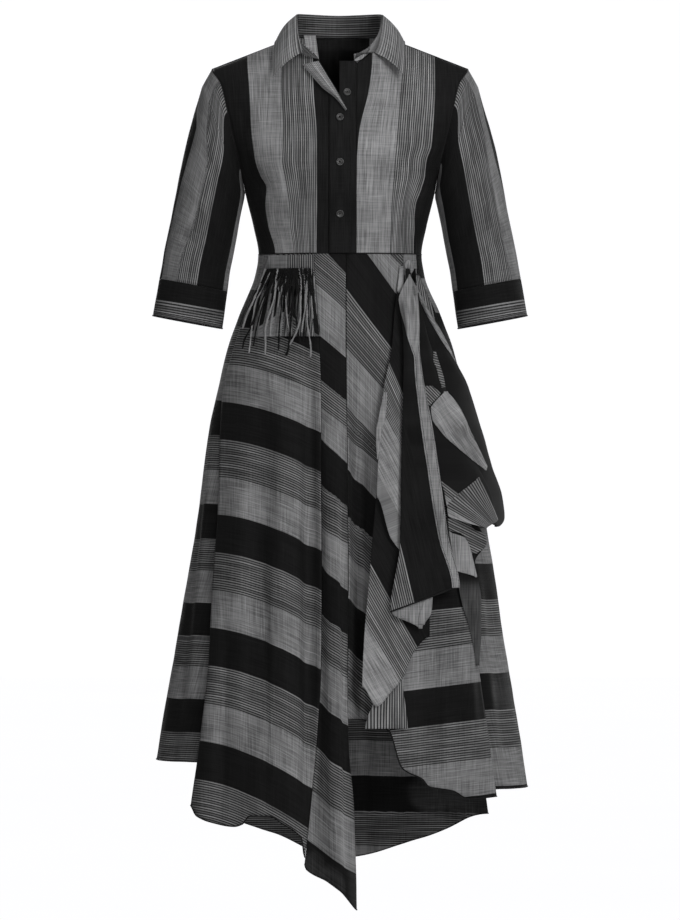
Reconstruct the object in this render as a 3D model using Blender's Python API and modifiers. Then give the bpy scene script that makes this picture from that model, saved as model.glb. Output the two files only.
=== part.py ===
"""Asymmetric striped shirt dress, hollow and hanging as it is worn, with nobody in it.

Metres, +Z up. The front faces -Y, and +X is on the right of somebody who faces the dress.
The origin lies midway between the two neck points of the shoulder seams, where a wearer
holds the dress up. Every table is keyed by its first column: mostly the drop, which is the
distance straight down from the level of the origin.
"""

import bisect
import math

import bmesh
import bpy
from mathutils import Vector

# ---- driving dimensions ---------------------------------------------------------------

WALL = 0.0012
SEAM_GAP = 0.0003
LAYER = 0.0023

NECK_POINT_X = 0.072
NECK_POINT_Z = 0.010
SHOULDER_TIP_X = 0.198
SHOULDER_SLOPE = 0.389
SHOULDER_TIP_DROP = 0.039
ARMPIT_DROP = 0.231
WAIST_DROP = 0.327
NECK_RISE = 1.2
BACK_NECK_DEPTH = 0.064
BACK_NECK_DROP = -0.0126
SHOULDER_ROUNDING = 2.5

PLACKET_LEFT_X = -0.017
PLACKET_RIGHT_X = 0.016
UNDER_PLACKET_LEFT_X = -0.001
UNDER_PLACKET_RIGHT_X = 0.0255
UNDER_PLACKET_TOP_DROP = 0.030
OPENING_TOP = (-0.0325, -0.028)
OPENING_FOOT = (0.016, -0.110)

BUTTON_RADIUS = 0.0058
BUTTON_THICKNESS = 0.0022
BUTTONS = ((0.0109, 0.079, 0.0), (0.0, 0.118, LAYER), (0.0, 0.187, LAYER), (0.0, 0.266, LAYER))

BACK_SEAM_ANGLE = 130.0
PANEL_OVERLAP = 0.006


class Table:
    """Rows of named columns, read on a smooth curve between its first and its last row."""

    def __init__(self, columns, *rows):
        self.columns = columns.split()
        self.rows = sorted(rows)
        self.keys = [row[0] for row in self.rows]

    def at(self, key, column):
        place = self.columns.index(column)
        values = [row[place] for row in self.rows]
        key = min(max(key, self.keys[0]), self.keys[-1])
        high = min(max(bisect.bisect_right(self.keys, key), 1), len(values) - 1)
        low = high - 1
        span = self.keys[high] - self.keys[low]
        part = (key - self.keys[low]) / span
        rise = values[high] - values[low]
        before = self._slope(values, low) * span
        after = self._slope(values, high) * span
        square = part * part
        cube = square * part
        eased = rise * (3 * square - 2 * cube)
        return (values[low] + eased + before * (cube - 2 * square + part)
                + after * (cube - square))

    def _slope(self, values, place):
        """Slope at a row, level where the values turn, so that the curve never overshoots."""
        if place in (0, len(values) - 1):
            return 0.0
        fall = (values[place] - values[place - 1]) / (self.keys[place] - self.keys[place - 1])
        rise = (values[place + 1] - values[place]) / (self.keys[place + 1] - self.keys[place])
        if fall * rise <= 0:
            return 0.0
        return 2 * fall * rise / (fall + rise)


# Side line and armhole of the bodice, with the depth of its front and back at the centre.
# The depths and the armhole's reach are those before the shoulder is rounded over.
TORSO = Table(
    "drop half_width armhole_reach front back",
    (-0.010, 0.205, 0.000, 0.088, 0.078),
    (0.039, 0.198, 0.066, 0.094, 0.092),
    (0.0635, 0.1835, 0.064, 0.099, 0.100),
    (0.107, 0.173, 0.060, 0.106, 0.105),
    (0.149, 0.164, 0.053, 0.114, 0.104),
    (0.188, 0.1545, 0.036, 0.118, 0.099),
    (0.231, 0.147, 0.000, 0.115, 0.092),
    (0.285, 0.134, 0.000, 0.101, 0.082),
    (0.327, 0.1265, 0.000, 0.094, 0.078),
)

# Outer and underarm line of a sleeve, down to its cuff, with half its depth front to back.
SLEEVE = Table(
    "length outer_x outer_drop under_x under_drop half_depth",
    (0.10, 0.2140, 0.067, 0.1482, 0.239, 0.060),
    (0.20, 0.2240, 0.102, 0.1510, 0.252, 0.062),
    (0.35, 0.2370, 0.150, 0.1560, 0.275, 0.061),
    (0.50, 0.2510, 0.212, 0.1610, 0.303, 0.058),
    (0.66, 0.2635, 0.276, 0.1660, 0.331, 0.054),
    (0.82, 0.2730, 0.322, 0.1705, 0.355, 0.050),
    (0.90, 0.2800, 0.364, 0.1740, 0.384, 0.047),
    (1.00, 0.2900, 0.421, 0.1825, 0.441, 0.046),
)
CUFF_START = 0.90
CUFF_GAP = 0.0008
SLEEVE_SIDES = 18
ARMHOLE_FOOT_GAP = 0.0006
ARMHOLE_STEP_TOP = 0.078
ARMHOLE_STEP_FOOT = 0.046

# The skirt's rings: half the width and the depth of its front and back, without folds.
SKIRT = Table(
    "drop half_width front back",
    (0.327, 0.1265, 0.094, 0.078),
    (0.360, 0.1315, 0.101, 0.088),
    (0.417, 0.1550, 0.118, 0.106),
    (0.480, 0.1770, 0.133, 0.120),
    (0.553, 0.1920, 0.145, 0.132),
    (0.650, 0.2120, 0.158, 0.146),
    (0.738, 0.2260, 0.170, 0.158),
    (0.848, 0.2430, 0.183, 0.172),
    (0.939, 0.2570, 0.193, 0.182),
    (1.056, 0.2760, 0.206, 0.196),
    (1.146, 0.2900, 0.216, 0.205),
    (1.340, 0.3180, 0.232, 0.222),
)

# Where the skirt's front seams lie, as x at each drop.
SKIRT_SEAMS = Table(
    "drop side_left princess centre hip side_right",
    (0.327, -0.1180, -0.040, 0.0090, 0.0980, 0.1180),
    (0.440, -0.1560, -0.033, 0.0090, 0.0900, 0.1560),
    (0.553, -0.1830, -0.029, 0.0100, 0.0850, 0.1780),
    (0.738, -0.1890, -0.029, 0.0124, 0.0800, 0.1930),
    (0.848, -0.1970, -0.029, 0.0124, 0.0780, 0.2020),
    (0.966, -0.2030, -0.030, 0.0124, 0.0760, 0.2140),
    (1.077, -0.2155, -0.036, 0.0140, 0.0760, 0.2290),
    (1.178, -0.2300, -0.045, 0.0220, 0.0770, 0.2430),
    (1.340, -0.2500, -0.060, 0.0265, 0.0800, 0.2600),
)

# Hems. The left front ends in a long handkerchief point, the right front is cut short.
HEM_FRONT_LEFT = Table(
    "x drop",
    (-0.235, 1.170), (-0.218, 1.189), (-0.195, 1.198), (-0.158, 1.204), (-0.145, 1.200),
    (-0.137, 1.188), (-0.107, 1.187), (-0.088, 1.197), (-0.054, 1.220), (-0.045, 1.250),
)
HEM_CENTRE_LEFT = Table(
    "x drop",
    (-0.060, 1.225), (-0.048, 1.250), (-0.042, 1.268), (-0.013, 1.2865), (0.0056, 1.3035),
    (0.0265, 1.3320),
)
HEM_FRONT_RIGHT = Table(
    "x drop",
    (0.010, 1.040), (0.060, 1.045), (0.077, 1.060), (0.096, 1.114), (0.125, 1.131),
    (0.136, 1.143), (0.1745, 1.150), (0.198, 1.163), (0.260, 1.160),
)
HEM_BACK = Table(
    "angle drop",
    (-130.0, 1.190), (-160.0, 1.232), (-180.0, 1.272), (-204.0, 1.240), (-230.0, 1.198),
)
HEM_SIDE_LEFT_DROP = 1.108
HEM_SIDE_RIGHT_DROP = 1.150

# Long folds of the front, standing forward or sinking back, by x at the waist and the hem.
FRONT_FOLDS = Table(
    "place x_waist x_hem half_width forward",
    (0, -0.112, -0.215, 0.020, 0.008),
    (1, -0.092, -0.155, 0.018, -0.005),
    (2, -0.076, -0.118, 0.020, 0.007),
    (3, -0.040, -0.040, 0.017, -0.013),
    (4, -0.006, 0.006, 0.017, 0.020),
    (5, 0.030, 0.036, 0.016, -0.034),
    (6, 0.072, 0.112, 0.020, 0.006),
    (7, 0.100, 0.182, 0.024, -0.006),
    (8, 0.112, 0.225, 0.018, 0.008),
)
HIP_ROWS = 5 / 12
HIP_DROP = 0.553
FOLD_START_DROP = 0.43
FOLD_FULL_DROP = 0.80
FOLD_HEM_DROP = 1.20
SEAM_HEM_DROP = 1.18
CENTRE_SEAM_EASE = 0.0009
FRONT_LEFT_STAND = 0.004

# Soft folds round the sides and the back, by angle from the centre front.
ROUND_FOLDS = Table(
    "angle half_width outward",
    (-212.0, 10.0, 0.010), (-196.0, 8.0, -0.008), (-180.0, 9.0, 0.012), (-164.0, 8.0, -0.008),
    (-148.0, 9.0, 0.011), (-136.0, 7.0, -0.006),
)

# The gathered drape at the right hip. Each layer is a fall between a left and a right edge,
# standing out from the smooth skirt by its stand_left, stand_middle and stand_right.
TAIL = Table(
    "drop left right stand_left stand_middle stand_right",
    (0.350, 0.1010, 0.1075, 0.0135, 0.0138, 0.0143),
    (0.364, 0.1010, 0.1110, 0.0180, 0.0200, 0.0180),
    (0.385, 0.0950, 0.1200, 0.0200, 0.0280, 0.0200),
    (0.404, 0.0915, 0.1220, 0.0220, 0.0320, 0.0220),
    (0.450, 0.0960, 0.1205, 0.0240, 0.0330, 0.0240),
    (0.490, 0.0975, 0.1220, 0.0260, 0.0340, 0.0260),
    (0.560, 0.0960, 0.1340, 0.0280, 0.0360, 0.0270),
    (0.650, 0.0935, 0.1470, 0.0290, 0.0380, 0.0260),
    (0.770, 0.0915, 0.1690, 0.0300, 0.0400, 0.0260),
    (0.876, 0.0760, 0.1840, 0.0300, 0.0420, 0.0260),
)
TAIL_HEM_RISE = 0.039
TAIL_CORNER = Table(
    "drop left right stand_left stand_middle stand_right",
    (0.820, 0.0900, 0.1420, 0.0294, 0.0374, 0.0368),
    (0.878, 0.0790, 0.1380, 0.0270, 0.0320, 0.0300),
    (0.902, 0.1205, 0.1250, 0.0260, 0.0280, 0.0260),
)
CASCADE_UPPER = Table(
    "drop left right stand_left stand_middle stand_right",
    (0.346, 0.0915, 0.0975, 0.0040, 0.0042, 0.0042),
    (0.380, 0.0885, 0.0980, 0.0070, 0.0100, 0.0110),
    (0.405, 0.0850, 0.1000, 0.0080, 0.0110, 0.0120),
    (0.474, 0.0790, 0.1080, 0.0100, 0.0130, 0.0140),
    (0.553, 0.0640, 0.1100, 0.0160, 0.0190, 0.0150),
    (0.640, 0.0585, 0.1080, 0.0200, 0.0230, 0.0150),
    (0.702, 0.0560, 0.1050, 0.0210, 0.0230, 0.0150),
)
CASCADE_LOWER = Table(
    "drop left right stand_left stand_middle stand_right",
    (0.560, 0.0750, 0.1080, 0.0164, 0.0170, 0.0132),
    (0.640, 0.0620, 0.1200, 0.0110, 0.0120, 0.0080),
    (0.710, 0.0545, 0.1300, 0.0120, 0.0130, 0.0070),
    (0.801, 0.0465, 0.1370, 0.0160, 0.0150, 0.0080),
    (0.924, 0.0365, 0.1370, 0.0200, 0.0160, 0.0080),
    (0.990, 0.0340, 0.1350, 0.0220, 0.0160, 0.0080),
)
CASCADE_FOOT = Table(
    "drop left right stand_left stand_middle stand_right",
    (0.930, 0.0640, 0.0900, 0.0160, 0.0150, 0.0134),
    (0.990, 0.0590, 0.0960, 0.0130, 0.0130, 0.0100),
    (1.054, 0.0385, 0.1035, 0.0120, 0.0130, 0.0080),
)
CASCADE_UPPER_HEM = Table("across drop", (0.0, 0.702), (0.45, 0.765), (1.0, 0.790))
CASCADE_LOWER_HEM = Table(
    "across drop",
    (0.0, 0.990), (0.22, 1.020), (0.42, 1.000), (0.62, 0.975), (0.75, 0.940), (1.0, 0.915),
)
SIDE_DRAPE = Table(
    "drop left ridge end_angle stand_left stand",
    (0.350, 0.1152, 0.1156, 58.5, 0.0105, 0.0105),
    (0.386, 0.1170, 0.1215, 60.0, 0.012, 0.012),
    (0.430, 0.1185, 0.1290, 61.0, 0.012, 0.012),
    (0.480, 0.1200, 0.1430, 68.0, 0.012, 0.013),
    (0.534, 0.1270, 0.1620, 92.0, 0.012, 0.014),
    (0.600, 0.1350, 0.1880, 104.0, 0.012, 0.018),
    (0.655, 0.1420, 0.2120, 108.0, 0.013, 0.023),
    (0.700, 0.1520, 0.2330, 110.0, 0.013, 0.032),
    (0.750, 0.1610, 0.2420, 110.0, 0.013, 0.031),
)
KNOT_X = 0.1060
KNOT_DROP = 0.3475
KNOT_SIZE = (0.0085, 0.0060, 0.0110)
KNOT_STAND = 0.0094
SEATED_STAND = 0.0022
RIDGE_ACROSS = 0.46
RIDGE_SWELL = 0.005
RIDGE_SINK = 0.007
SIDE_DRAPE_HEM = Table(
    "across drop",
    (0.0, 0.712), (0.18, 0.726), (0.36, 0.742), (0.52, 0.748), (0.70, 0.735), (1.0, 0.640),
)
RUFFLE = Table(
    "drop left right stand_left stand_middle stand_right",
    (0.690, 0.1600, 0.1880, 0.0092, 0.0149, 0.0209),
    (0.738, 0.1650, 0.2080, 0.007, 0.010, 0.010),
    (0.772, 0.1700, 0.2250, 0.009, 0.012, 0.018),
    (0.800, 0.1760, 0.2080, 0.008, 0.010, 0.018),
    (0.860, 0.1860, 0.2170, 0.006, 0.009, 0.016),
    (0.910, 0.2010, 0.2170, 0.005, 0.007, 0.012),
    (0.960, 0.2090, 0.2140, 0.004, 0.005, 0.006),
)

# The pocket: a flat band at the waist seam and a gathered pouch that hangs from it.
POCKET_BAND = Table(
    "drop left right", (0.329, -0.1120, -0.0400), (0.3505, -0.1175, -0.0405))
POUCH = Table(
    "drop left right stand",
    (0.3510, -0.1165, -0.0410, 0.0030),
    (0.380, -0.1290, -0.0390, 0.0090),
    (0.415, -0.1420, -0.0350, 0.0120),
    (0.440, -0.1500, -0.0310, 0.0100),
    (0.455, -0.1480, -0.0300, 0.0060),
)
BAND_STAND = 0.0042
POUCH_GATHERS = 9
GATHER_DEPTH = 0.0012
FRINGE_LEFT_X = -0.1450
FRINGE_RIGHT_X = -0.0420
FRINGE_TOP_DROP = 0.3535
FRINGE_HEM_DROP = 0.486
FRINGE_THICKNESS = 0.0030
FRINGE_STAND = 0.0060

# The collar, by angle from the centre back; the front ends lie at different angles.
COLLAR = Table(
    "angle base_x base_y base_drop roll_x roll_y roll_drop",
    (-156.0, -0.0340, -0.0700, 0.0270, -0.0480, -0.0740, 0.0240),
    (-128.0, -0.0545, -0.0480, 0.0060, -0.0600, -0.0590, 0.0170),
    (-110.0, -0.0650, -0.0240, -0.0070, -0.0650, -0.0300, -0.0180),
    (-90.0, -0.0690, 0.0020, -0.0120, -0.0655, 0.0000, -0.0450),
    (-45.0, -0.0500, 0.0440, -0.0130, -0.0500, 0.0450, -0.0470),
    (0.0, 0.0000, 0.0640, -0.0130, 0.0000, 0.0640, -0.0460),
    (45.0, 0.0500, 0.0440, -0.0130, 0.0500, 0.0450, -0.0470),
    (90.0, 0.0690, 0.0020, -0.0120, 0.0650, 0.0000, -0.0450),
    (110.0, 0.0650, -0.0240, -0.0070, 0.0620, -0.0300, -0.0180),
    (130.0, 0.0530, -0.0480, 0.0060, 0.0500, -0.0590, 0.0170),
    (164.0, 0.0230, -0.0720, 0.0270, 0.0260, -0.0780, 0.0180),
)
LEAF = Table(
    "angle edge_x edge_y edge_drop",
    (-128.0, -0.1020, -0.0830, 0.0570),
    (-110.0, -0.1010, -0.0400, 0.0160),
    (-90.0, -0.0975, -0.0020, -0.0035),
    (-45.0, -0.0720, 0.0720, -0.0020),
    (0.0, 0.0000, 0.1010, 0.0060),
    (45.0, 0.0720, 0.0720, -0.0020),
    (90.0, 0.0985, -0.0020, -0.0035),
    (110.0, 0.0990, -0.0400, 0.0140),
    (128.0, 0.0970, -0.0830, 0.0520),
)
ROLL_GAP = WALL + 2 * SEAM_GAP
LEAF_SWELL = 0.004

# Turned-back top of the left front edge, between its fold and its curved lip.
LAPEL = Table(
    "along fold_x fold_drop lip_x lip_drop stand",
    (0.00, -0.0335, 0.0300, -0.0570, 0.0350, 0.0050),
    (0.20, -0.0245, 0.0450, -0.0495, 0.0450, 0.0075),
    (0.50, -0.0110, 0.0680, -0.0270, 0.0710, 0.0085),
    (0.80, 0.0020, 0.0910, -0.0040, 0.0905, 0.0070),
    (1.00, 0.0105, 0.1060, 0.0090, 0.1075, 0.0050),
)

BLACK = (0.012, 0.012, 0.013)
GREY = (0.155, 0.155, 0.160)
STRIPED = (0.085, 0.085, 0.088)
BUTTON_BLACK = (0.020, 0.020, 0.022)


# ---- small helpers --------------------------------------------------------------------


def mix(low, high, part):
    return low + (high - low) * part


def steps(count, first=0.0, last=1.0):
    return [mix(first, last, index / (count - 1)) for index in range(count)]


def smooth_rise(value, low, high):
    part = min(max((value - low) / (high - low), 0.0), 1.0)
    return part * part * (3 - 2 * part)


def bell(offset, half_width):
    return math.exp(-((offset / half_width) ** 2))


def finish(name, colour, roughness):
    material = bpy.data.materials.new(name)
    material.use_nodes = True
    shader = material.node_tree.nodes["Principled BSDF"]
    shader.inputs["Base Color"].default_value = (*colour, 1.0)
    shader.inputs["Roughness"].default_value = roughness
    shader.inputs["Metallic"].default_value = 0.0
    material.diffuse_color = (*colour, 1.0)
    return material


def add_object(name, mesh, material):
    obj = bpy.data.objects.new(name, mesh)
    obj.data.materials.append(material)
    DRESS.objects.link(obj)
    return obj


def cloth(name, material, point, columns, rows, inside, tube=False):
    """Open grid of cloth through point(across, along), with its wall on the side of inside."""
    mesh = bmesh.new()
    grid = [[mesh.verts.new(point(across, along)) for across in columns] for along in rows]
    last = len(columns) if tube else len(columns) - 1
    for upper, lower in zip(grid, grid[1:]):
        for place in range(last):
            after = (place + 1) % len(columns)
            mesh.faces.new((upper[place], lower[place], lower[after], upper[after]))
    mesh.normal_update()
    facing = sum(face.normal.dot(face.calc_center_median() - inside) * face.calc_area()
                 for face in mesh.faces)
    if facing < 0:
        bmesh.ops.reverse_faces(mesh, faces=mesh.faces)
    data = bpy.data.meshes.new(name)
    mesh.to_mesh(data)
    mesh.free()
    obj = add_object(name, data, material)
    wall = obj.modifiers.new("Wall", "SOLIDIFY")
    wall.thickness = WALL
    wall.offset = -1.0
    return obj


# ---- bodice ---------------------------------------------------------------------------


def shoulder_height(x):
    """Height of the shoulder's top at x, rising up the neck inside the neck point."""
    beyond = abs(x) - NECK_POINT_X
    return NECK_POINT_Z - (SHOULDER_SLOPE if beyond > 0 else NECK_RISE) * beyond


def torso(side, x, z, out=0.0):
    """Point of the bodice's front (side -1) or back (side 1) at x and z, moved out."""
    drop = -z
    half_width = TORSO.at(drop, "half_width")
    reach = TORSO.at(drop, "armhole_reach")
    depth = TORSO.at(drop, "front" if side < 0 else "back")
    above = smooth_rise(drop, ARMPIT_DROP, ARMPIT_DROP - 0.05)
    most = mix(1.0, 0.93, above)
    least = math.sqrt(1 - most * most)
    sine = min(abs(x) / half_width, 1.0) * most
    curve = (math.sqrt(max(1 - sine * sine, 0.0)) - least) / (1 - least)
    top = shoulder_height(x)
    climb = min(max((z + ARMPIT_DROP) / (top + ARMPIT_DROP), 0.0), 1.0)
    rounding = math.sqrt(max(1 - climb ** SHOULDER_ROUNDING, 0.0))
    return Vector((x, side * ((reach + (depth - reach) * curve) * rounding + out), z))


def row_height(along, top, foot=-WAIST_DROP + SEAM_GAP):
    """Height of a bodice row: level up to the armpit, then fanned out to the top edge."""
    armpit = -ARMPIT_DROP
    low_rows = 0.35
    if along < low_rows:
        return mix(foot, armpit, along / low_rows)
    return mix(armpit, top, (along - low_rows) / (1 - low_rows))


def top_edge(x, neckline):
    """Height of the bodice's top edge at x: the neckline, then the shoulder seam."""
    if abs(x) < NECK_POINT_X:
        return neckline(abs(x))
    return shoulder_height(x) - SEAM_GAP


def left_neckline(x):
    opening = mix(OPENING_TOP[1], OPENING_FOOT[1],
                  (-x - OPENING_TOP[0]) / (OPENING_FOOT[0] - OPENING_TOP[0]))
    if x < -OPENING_TOP[0]:
        return opening
    climb = (x + OPENING_TOP[0]) / (NECK_POINT_X + OPENING_TOP[0])
    return mix(OPENING_TOP[1], NECK_POINT_Z, climb ** 0.8)


def right_neckline(x):
    climb = (x - UNDER_PLACKET_RIGHT_X) / (NECK_POINT_X - UNDER_PLACKET_RIGHT_X)
    return mix(-0.033, NECK_POINT_Z, max(climb, 0.0) ** 1.15)


def back_neckline(x):
    return mix(-BACK_NECK_DROP, NECK_POINT_Z, (x / NECK_POINT_X) ** 2)


def armhole_x(z):
    return TORSO.at(-z, "half_width")


def bodice_front(hand, centre_x, neckline):
    """Panel from its centre edge to the side seam; hand is -1 or 1, and rows run upward."""
    def point(across, along):
        top_x = mix(centre_x, SHOULDER_TIP_X - SEAM_GAP, across)
        z = row_height(along, top_edge(top_x, neckline))
        x = mix(centre_x, armhole_x(z) - SEAM_GAP, across)
        if along > 0.999:
            x = top_x
        found = torso(-1, x, z)
        return Vector((hand * found.x, min(found.y, -SEAM_GAP), found.z))
    return point


def bodice_back(across, along):
    top_x = abs(across) * (SHOULDER_TIP_X - SEAM_GAP)
    z = row_height(along, top_edge(top_x, back_neckline))
    x = abs(across) * (armhole_x(z) - SEAM_GAP)
    if along > 0.999:
        x = top_x
    found = torso(1, x, z)
    neck = 0.0
    if top_x < NECK_POINT_X:
        round_neck = math.sqrt(1 - (top_x / NECK_POINT_X) ** 2)
        neck = BACK_NECK_DEPTH * round_neck * smooth_rise(along, 0.6, 1.0)
    return Vector((math.copysign(found.x, across), max(found.y, neck, SEAM_GAP), found.z))


def opening_edge(x):
    """Height of the left front's sloping free edge at x."""
    return mix(OPENING_TOP[1], OPENING_FOOT[1],
               (x - OPENING_TOP[0]) / (OPENING_FOOT[0] - OPENING_TOP[0]))


def placket_top(across, along):
    x = mix(PLACKET_LEFT_X + SEAM_GAP, PLACKET_RIGHT_X, across)
    return torso(-1, x, mix(-WAIST_DROP + SEAM_GAP, opening_edge(x), along), LAYER)


def placket_under(across, along):
    x = mix(UNDER_PLACKET_LEFT_X, UNDER_PLACKET_RIGHT_X - SEAM_GAP, across)
    return torso(-1, x, mix(-WAIST_DROP + SEAM_GAP, -UNDER_PLACKET_TOP_DROP, along))


def lapel(across, along):
    x = mix(LAPEL.at(along, "fold_x"), LAPEL.at(along, "lip_x"), across)
    z = -mix(LAPEL.at(along, "fold_drop"), LAPEL.at(along, "lip_drop"), across)
    roll = LAPEL.at(along, "stand") * math.sin(math.pi * 0.88 * across)
    return torso(-1, x, z, LAYER + WALL + 2 * SEAM_GAP + roll)


def build_bodice(materials):
    chest = Vector((0.0, 0.0, -0.15))
    cloth("bodice_front_left", materials["striped"],
          bodice_front(-1, -PLACKET_LEFT_X, left_neckline), steps(8), steps(12), chest)
    cloth("bodice_front_right", materials["striped"],
          bodice_front(1, UNDER_PLACKET_RIGHT_X, right_neckline), steps(8), steps(12), chest)
    cloth("bodice_back", materials["striped"], bodice_back, steps(13, -1.0), steps(12), chest)
    cloth("placket_top", materials["black"], placket_top, steps(3), steps(12), chest)
    cloth("placket_under", materials["black"], placket_under, steps(3), steps(12), chest)
    cloth("lapel_turned_back", materials["grey"], lapel, steps(4), steps(8), chest)


def collar_stand(across, along):
    angle = mix(COLLAR.keys[0], COLLAR.keys[-1], across)
    base = [COLLAR.at(angle, name) for name in ("base_x", "base_y", "base_drop")]
    roll = [COLLAR.at(angle, name) for name in ("roll_x", "roll_y", "roll_drop")]
    x, y, drop = (mix(low, high, along) for low, high in zip(base, roll))
    return Vector((x, y, -drop))


def collar_leaf(across, along):
    """Collar leaf from the stand's roll line down to its own outer edge, swelling a little."""
    angle = mix(LEAF.keys[0], LEAF.keys[-1], across)
    roll = [COLLAR.at(angle, name) for name in ("roll_x", "roll_y", "roll_drop")]
    edge = [LEAF.at(angle, name) for name in ("edge_x", "edge_y", "edge_drop")]
    x, y, drop = (mix(low, high, along) for low, high in zip(roll, edge))
    turn = math.radians(angle)
    away = Vector((math.sin(turn), math.cos(turn), 0.6)).normalized()
    return Vector((x, y, -drop)) + away * (ROLL_GAP + LEAF_SWELL * math.sin(math.pi * along))


def build_collar(materials):
    neck = Vector((0.0, 0.0, -0.02))
    cloth("collar_stand", materials["grey"], collar_stand, steps(17), steps(3), neck)
    cloth("collar_leaf", materials["striped"], collar_leaf, steps(21), steps(4), neck)


# ---- sleeves --------------------------------------------------------------------------


def sleeve_ring(hand, turn, length):
    """Point of a sleeve: turn 0 is its outer line, 90 its front and 180 its underarm."""
    cosine = math.cos(math.radians(turn))
    sine = math.sin(math.radians(turn))
    names = ("outer_x", "outer_drop", "under_x", "under_drop", "half_depth")
    outer_x, outer_drop, under_x, under_drop, half_depth = (
        SLEEVE.at(length, name) for name in names)
    x = mix(under_x, outer_x, (1 + cosine) / 2)
    drop = mix(under_drop, outer_drop, (1 + cosine) / 2)
    return Vector((hand * x, -half_depth * sine, -drop))


def sleeve(hand):
    """Sleeve from the armhole, which its first row follows, down to its cuff."""
    def point(turn, length):
        hanging = sleeve_ring(hand, turn, length)
        if length > SLEEVE.keys[0]:
            return hanging
        part = (1 - math.cos(math.radians(turn))) / 2
        z = -mix(SHOULDER_TIP_DROP, ARMPIT_DROP + ARMHOLE_FOOT_GAP, part)
        side = -1 if turn <= 180 else 1
        seam = torso(side, armhole_x(z), z)
        seam.x = hand * seam.x
        return seam.lerp(hanging, mix(ARMHOLE_STEP_TOP, ARMHOLE_STEP_FOOT, part))
    return point


def build_sleeves(materials):
    around = [360 * index / SLEEVE_SIDES for index in range(SLEEVE_SIDES)]
    lengths = [0.0, *(row for row in SLEEVE.keys if row < CUFF_START), CUFF_START]
    for name, hand in (("left", -1), ("right", 1)):
        inside = Vector((hand * 0.205, 0.0, -0.22))
        cloth(f"sleeve_{name}", materials["striped"], sleeve(hand), around, lengths, inside, True)
        cuff_rows = steps(3, CUFF_START + CUFF_GAP, 1.0)
        cloth(f"cuff_{name}", materials["black"], sleeve(hand), around, cuff_rows,
              Vector((hand * 0.232, 0.0, -0.40)), True)


# ---- skirt ----------------------------------------------------------------------------


def smooth_front(x, drop):
    """Depth of the skirt's front at x, as a distance forward, without its folds."""
    part = min(abs(x) / SKIRT.at(drop, "half_width"), 1.0)
    return SKIRT.at(drop, "front") * math.sqrt(1 - part * part)


def fold_growth(drop):
    return smooth_rise(drop, FOLD_START_DROP, FOLD_FULL_DROP)


def front_fold(x, drop):
    """How far the front's folds stand forward at x, growing from the hip to the hem."""
    down = (drop - WAIST_DROP) / (FOLD_HEM_DROP - WAIST_DROP)
    stand = 0.0
    for _, x_waist, x_hem, half_width, forward in FRONT_FOLDS.rows:
        stand += forward * bell(x - mix(x_waist, x_hem, down), half_width)
    return stand * fold_growth(drop)


def skirt_drop(along, hem_drop):
    """Drop of a skirt row: the hip's rows lie level in every panel, the rest reach its hem."""
    if along < HIP_ROWS:
        return mix(WAIST_DROP + SEAM_GAP, HIP_DROP, along / HIP_ROWS)
    return mix(HIP_DROP, hem_drop, (along - HIP_ROWS) / (1 - HIP_ROWS))


def front_panel(left_seam, right_seam, hem, stand=0.0, ease=SEAM_GAP):
    """Front panel between two seams of SKIRT_SEAMS, from the waist to its own hem."""
    def point(across, along):
        hem_x = mix(SKIRT_SEAMS.at(SEAM_HEM_DROP, left_seam),
                    SKIRT_SEAMS.at(SEAM_HEM_DROP, right_seam), across)
        drop = skirt_drop(along, hem.at(hem_x, "drop"))
        left = SKIRT_SEAMS.at(drop, left_seam) + ease
        right = SKIRT_SEAMS.at(drop, right_seam) - SEAM_GAP
        x = mix(left, right, across)
        forward = smooth_front(x, drop) + front_fold(x, drop) + stand * fold_growth(drop)
        return Vector((x, -forward, -drop))
    return point


def seam_angle(seam, drop):
    """Angle round the skirt, from the centre front, at which a front seam lies."""
    part = SKIRT_SEAMS.at(drop, seam) / SKIRT.at(drop, "half_width")
    return math.degrees(math.asin(min(max(part, -1.0), 1.0)))


def round_fold(angle, drop):
    wrapped = angle if angle < 0 else angle - 360
    stand = 0.0
    for fold_angle, half_width, outward in ROUND_FOLDS.rows:
        stand += outward * bell(wrapped - fold_angle, half_width)
    return stand * fold_growth(drop)


def skirt_ring(angle, drop, out=0.0):
    turn = math.radians(angle)
    forward = math.cos(turn)
    depth = SKIRT.at(drop, "front" if forward > 0 else "back")
    stand = out + round_fold(angle, drop)
    x = (SKIRT.at(drop, "half_width") + stand) * math.sin(turn)
    return Vector((x, -(depth + stand) * forward, -drop))


def side_panel(hand, seam, hem_drop):
    """Side panel from its front seam, just behind the front's edge, round to the back."""
    def point(across, along):
        drop = skirt_drop(along, hem_drop)
        tuck = PANEL_OVERLAP * fold_growth(drop)
        lap = math.degrees(tuck / SKIRT.at(drop, "half_width"))
        start = seam_angle(seam, drop) + hand * (0.15 - lap * 0.5)
        angle = mix(start, hand * (BACK_SEAM_ANGLE - 0.1), across)
        inward = -tuck * (1 - smooth_rise(across, 0.0, 0.35))
        return skirt_ring(angle, drop, inward)
    return point


def skirt_back(across, along):
    angle = mix(-BACK_SEAM_ANGLE - 0.1, -360 + BACK_SEAM_ANGLE + 0.1, across)
    drop = skirt_drop(along, HEM_BACK.at(angle, "drop"))
    return skirt_ring(angle, drop)


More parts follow.
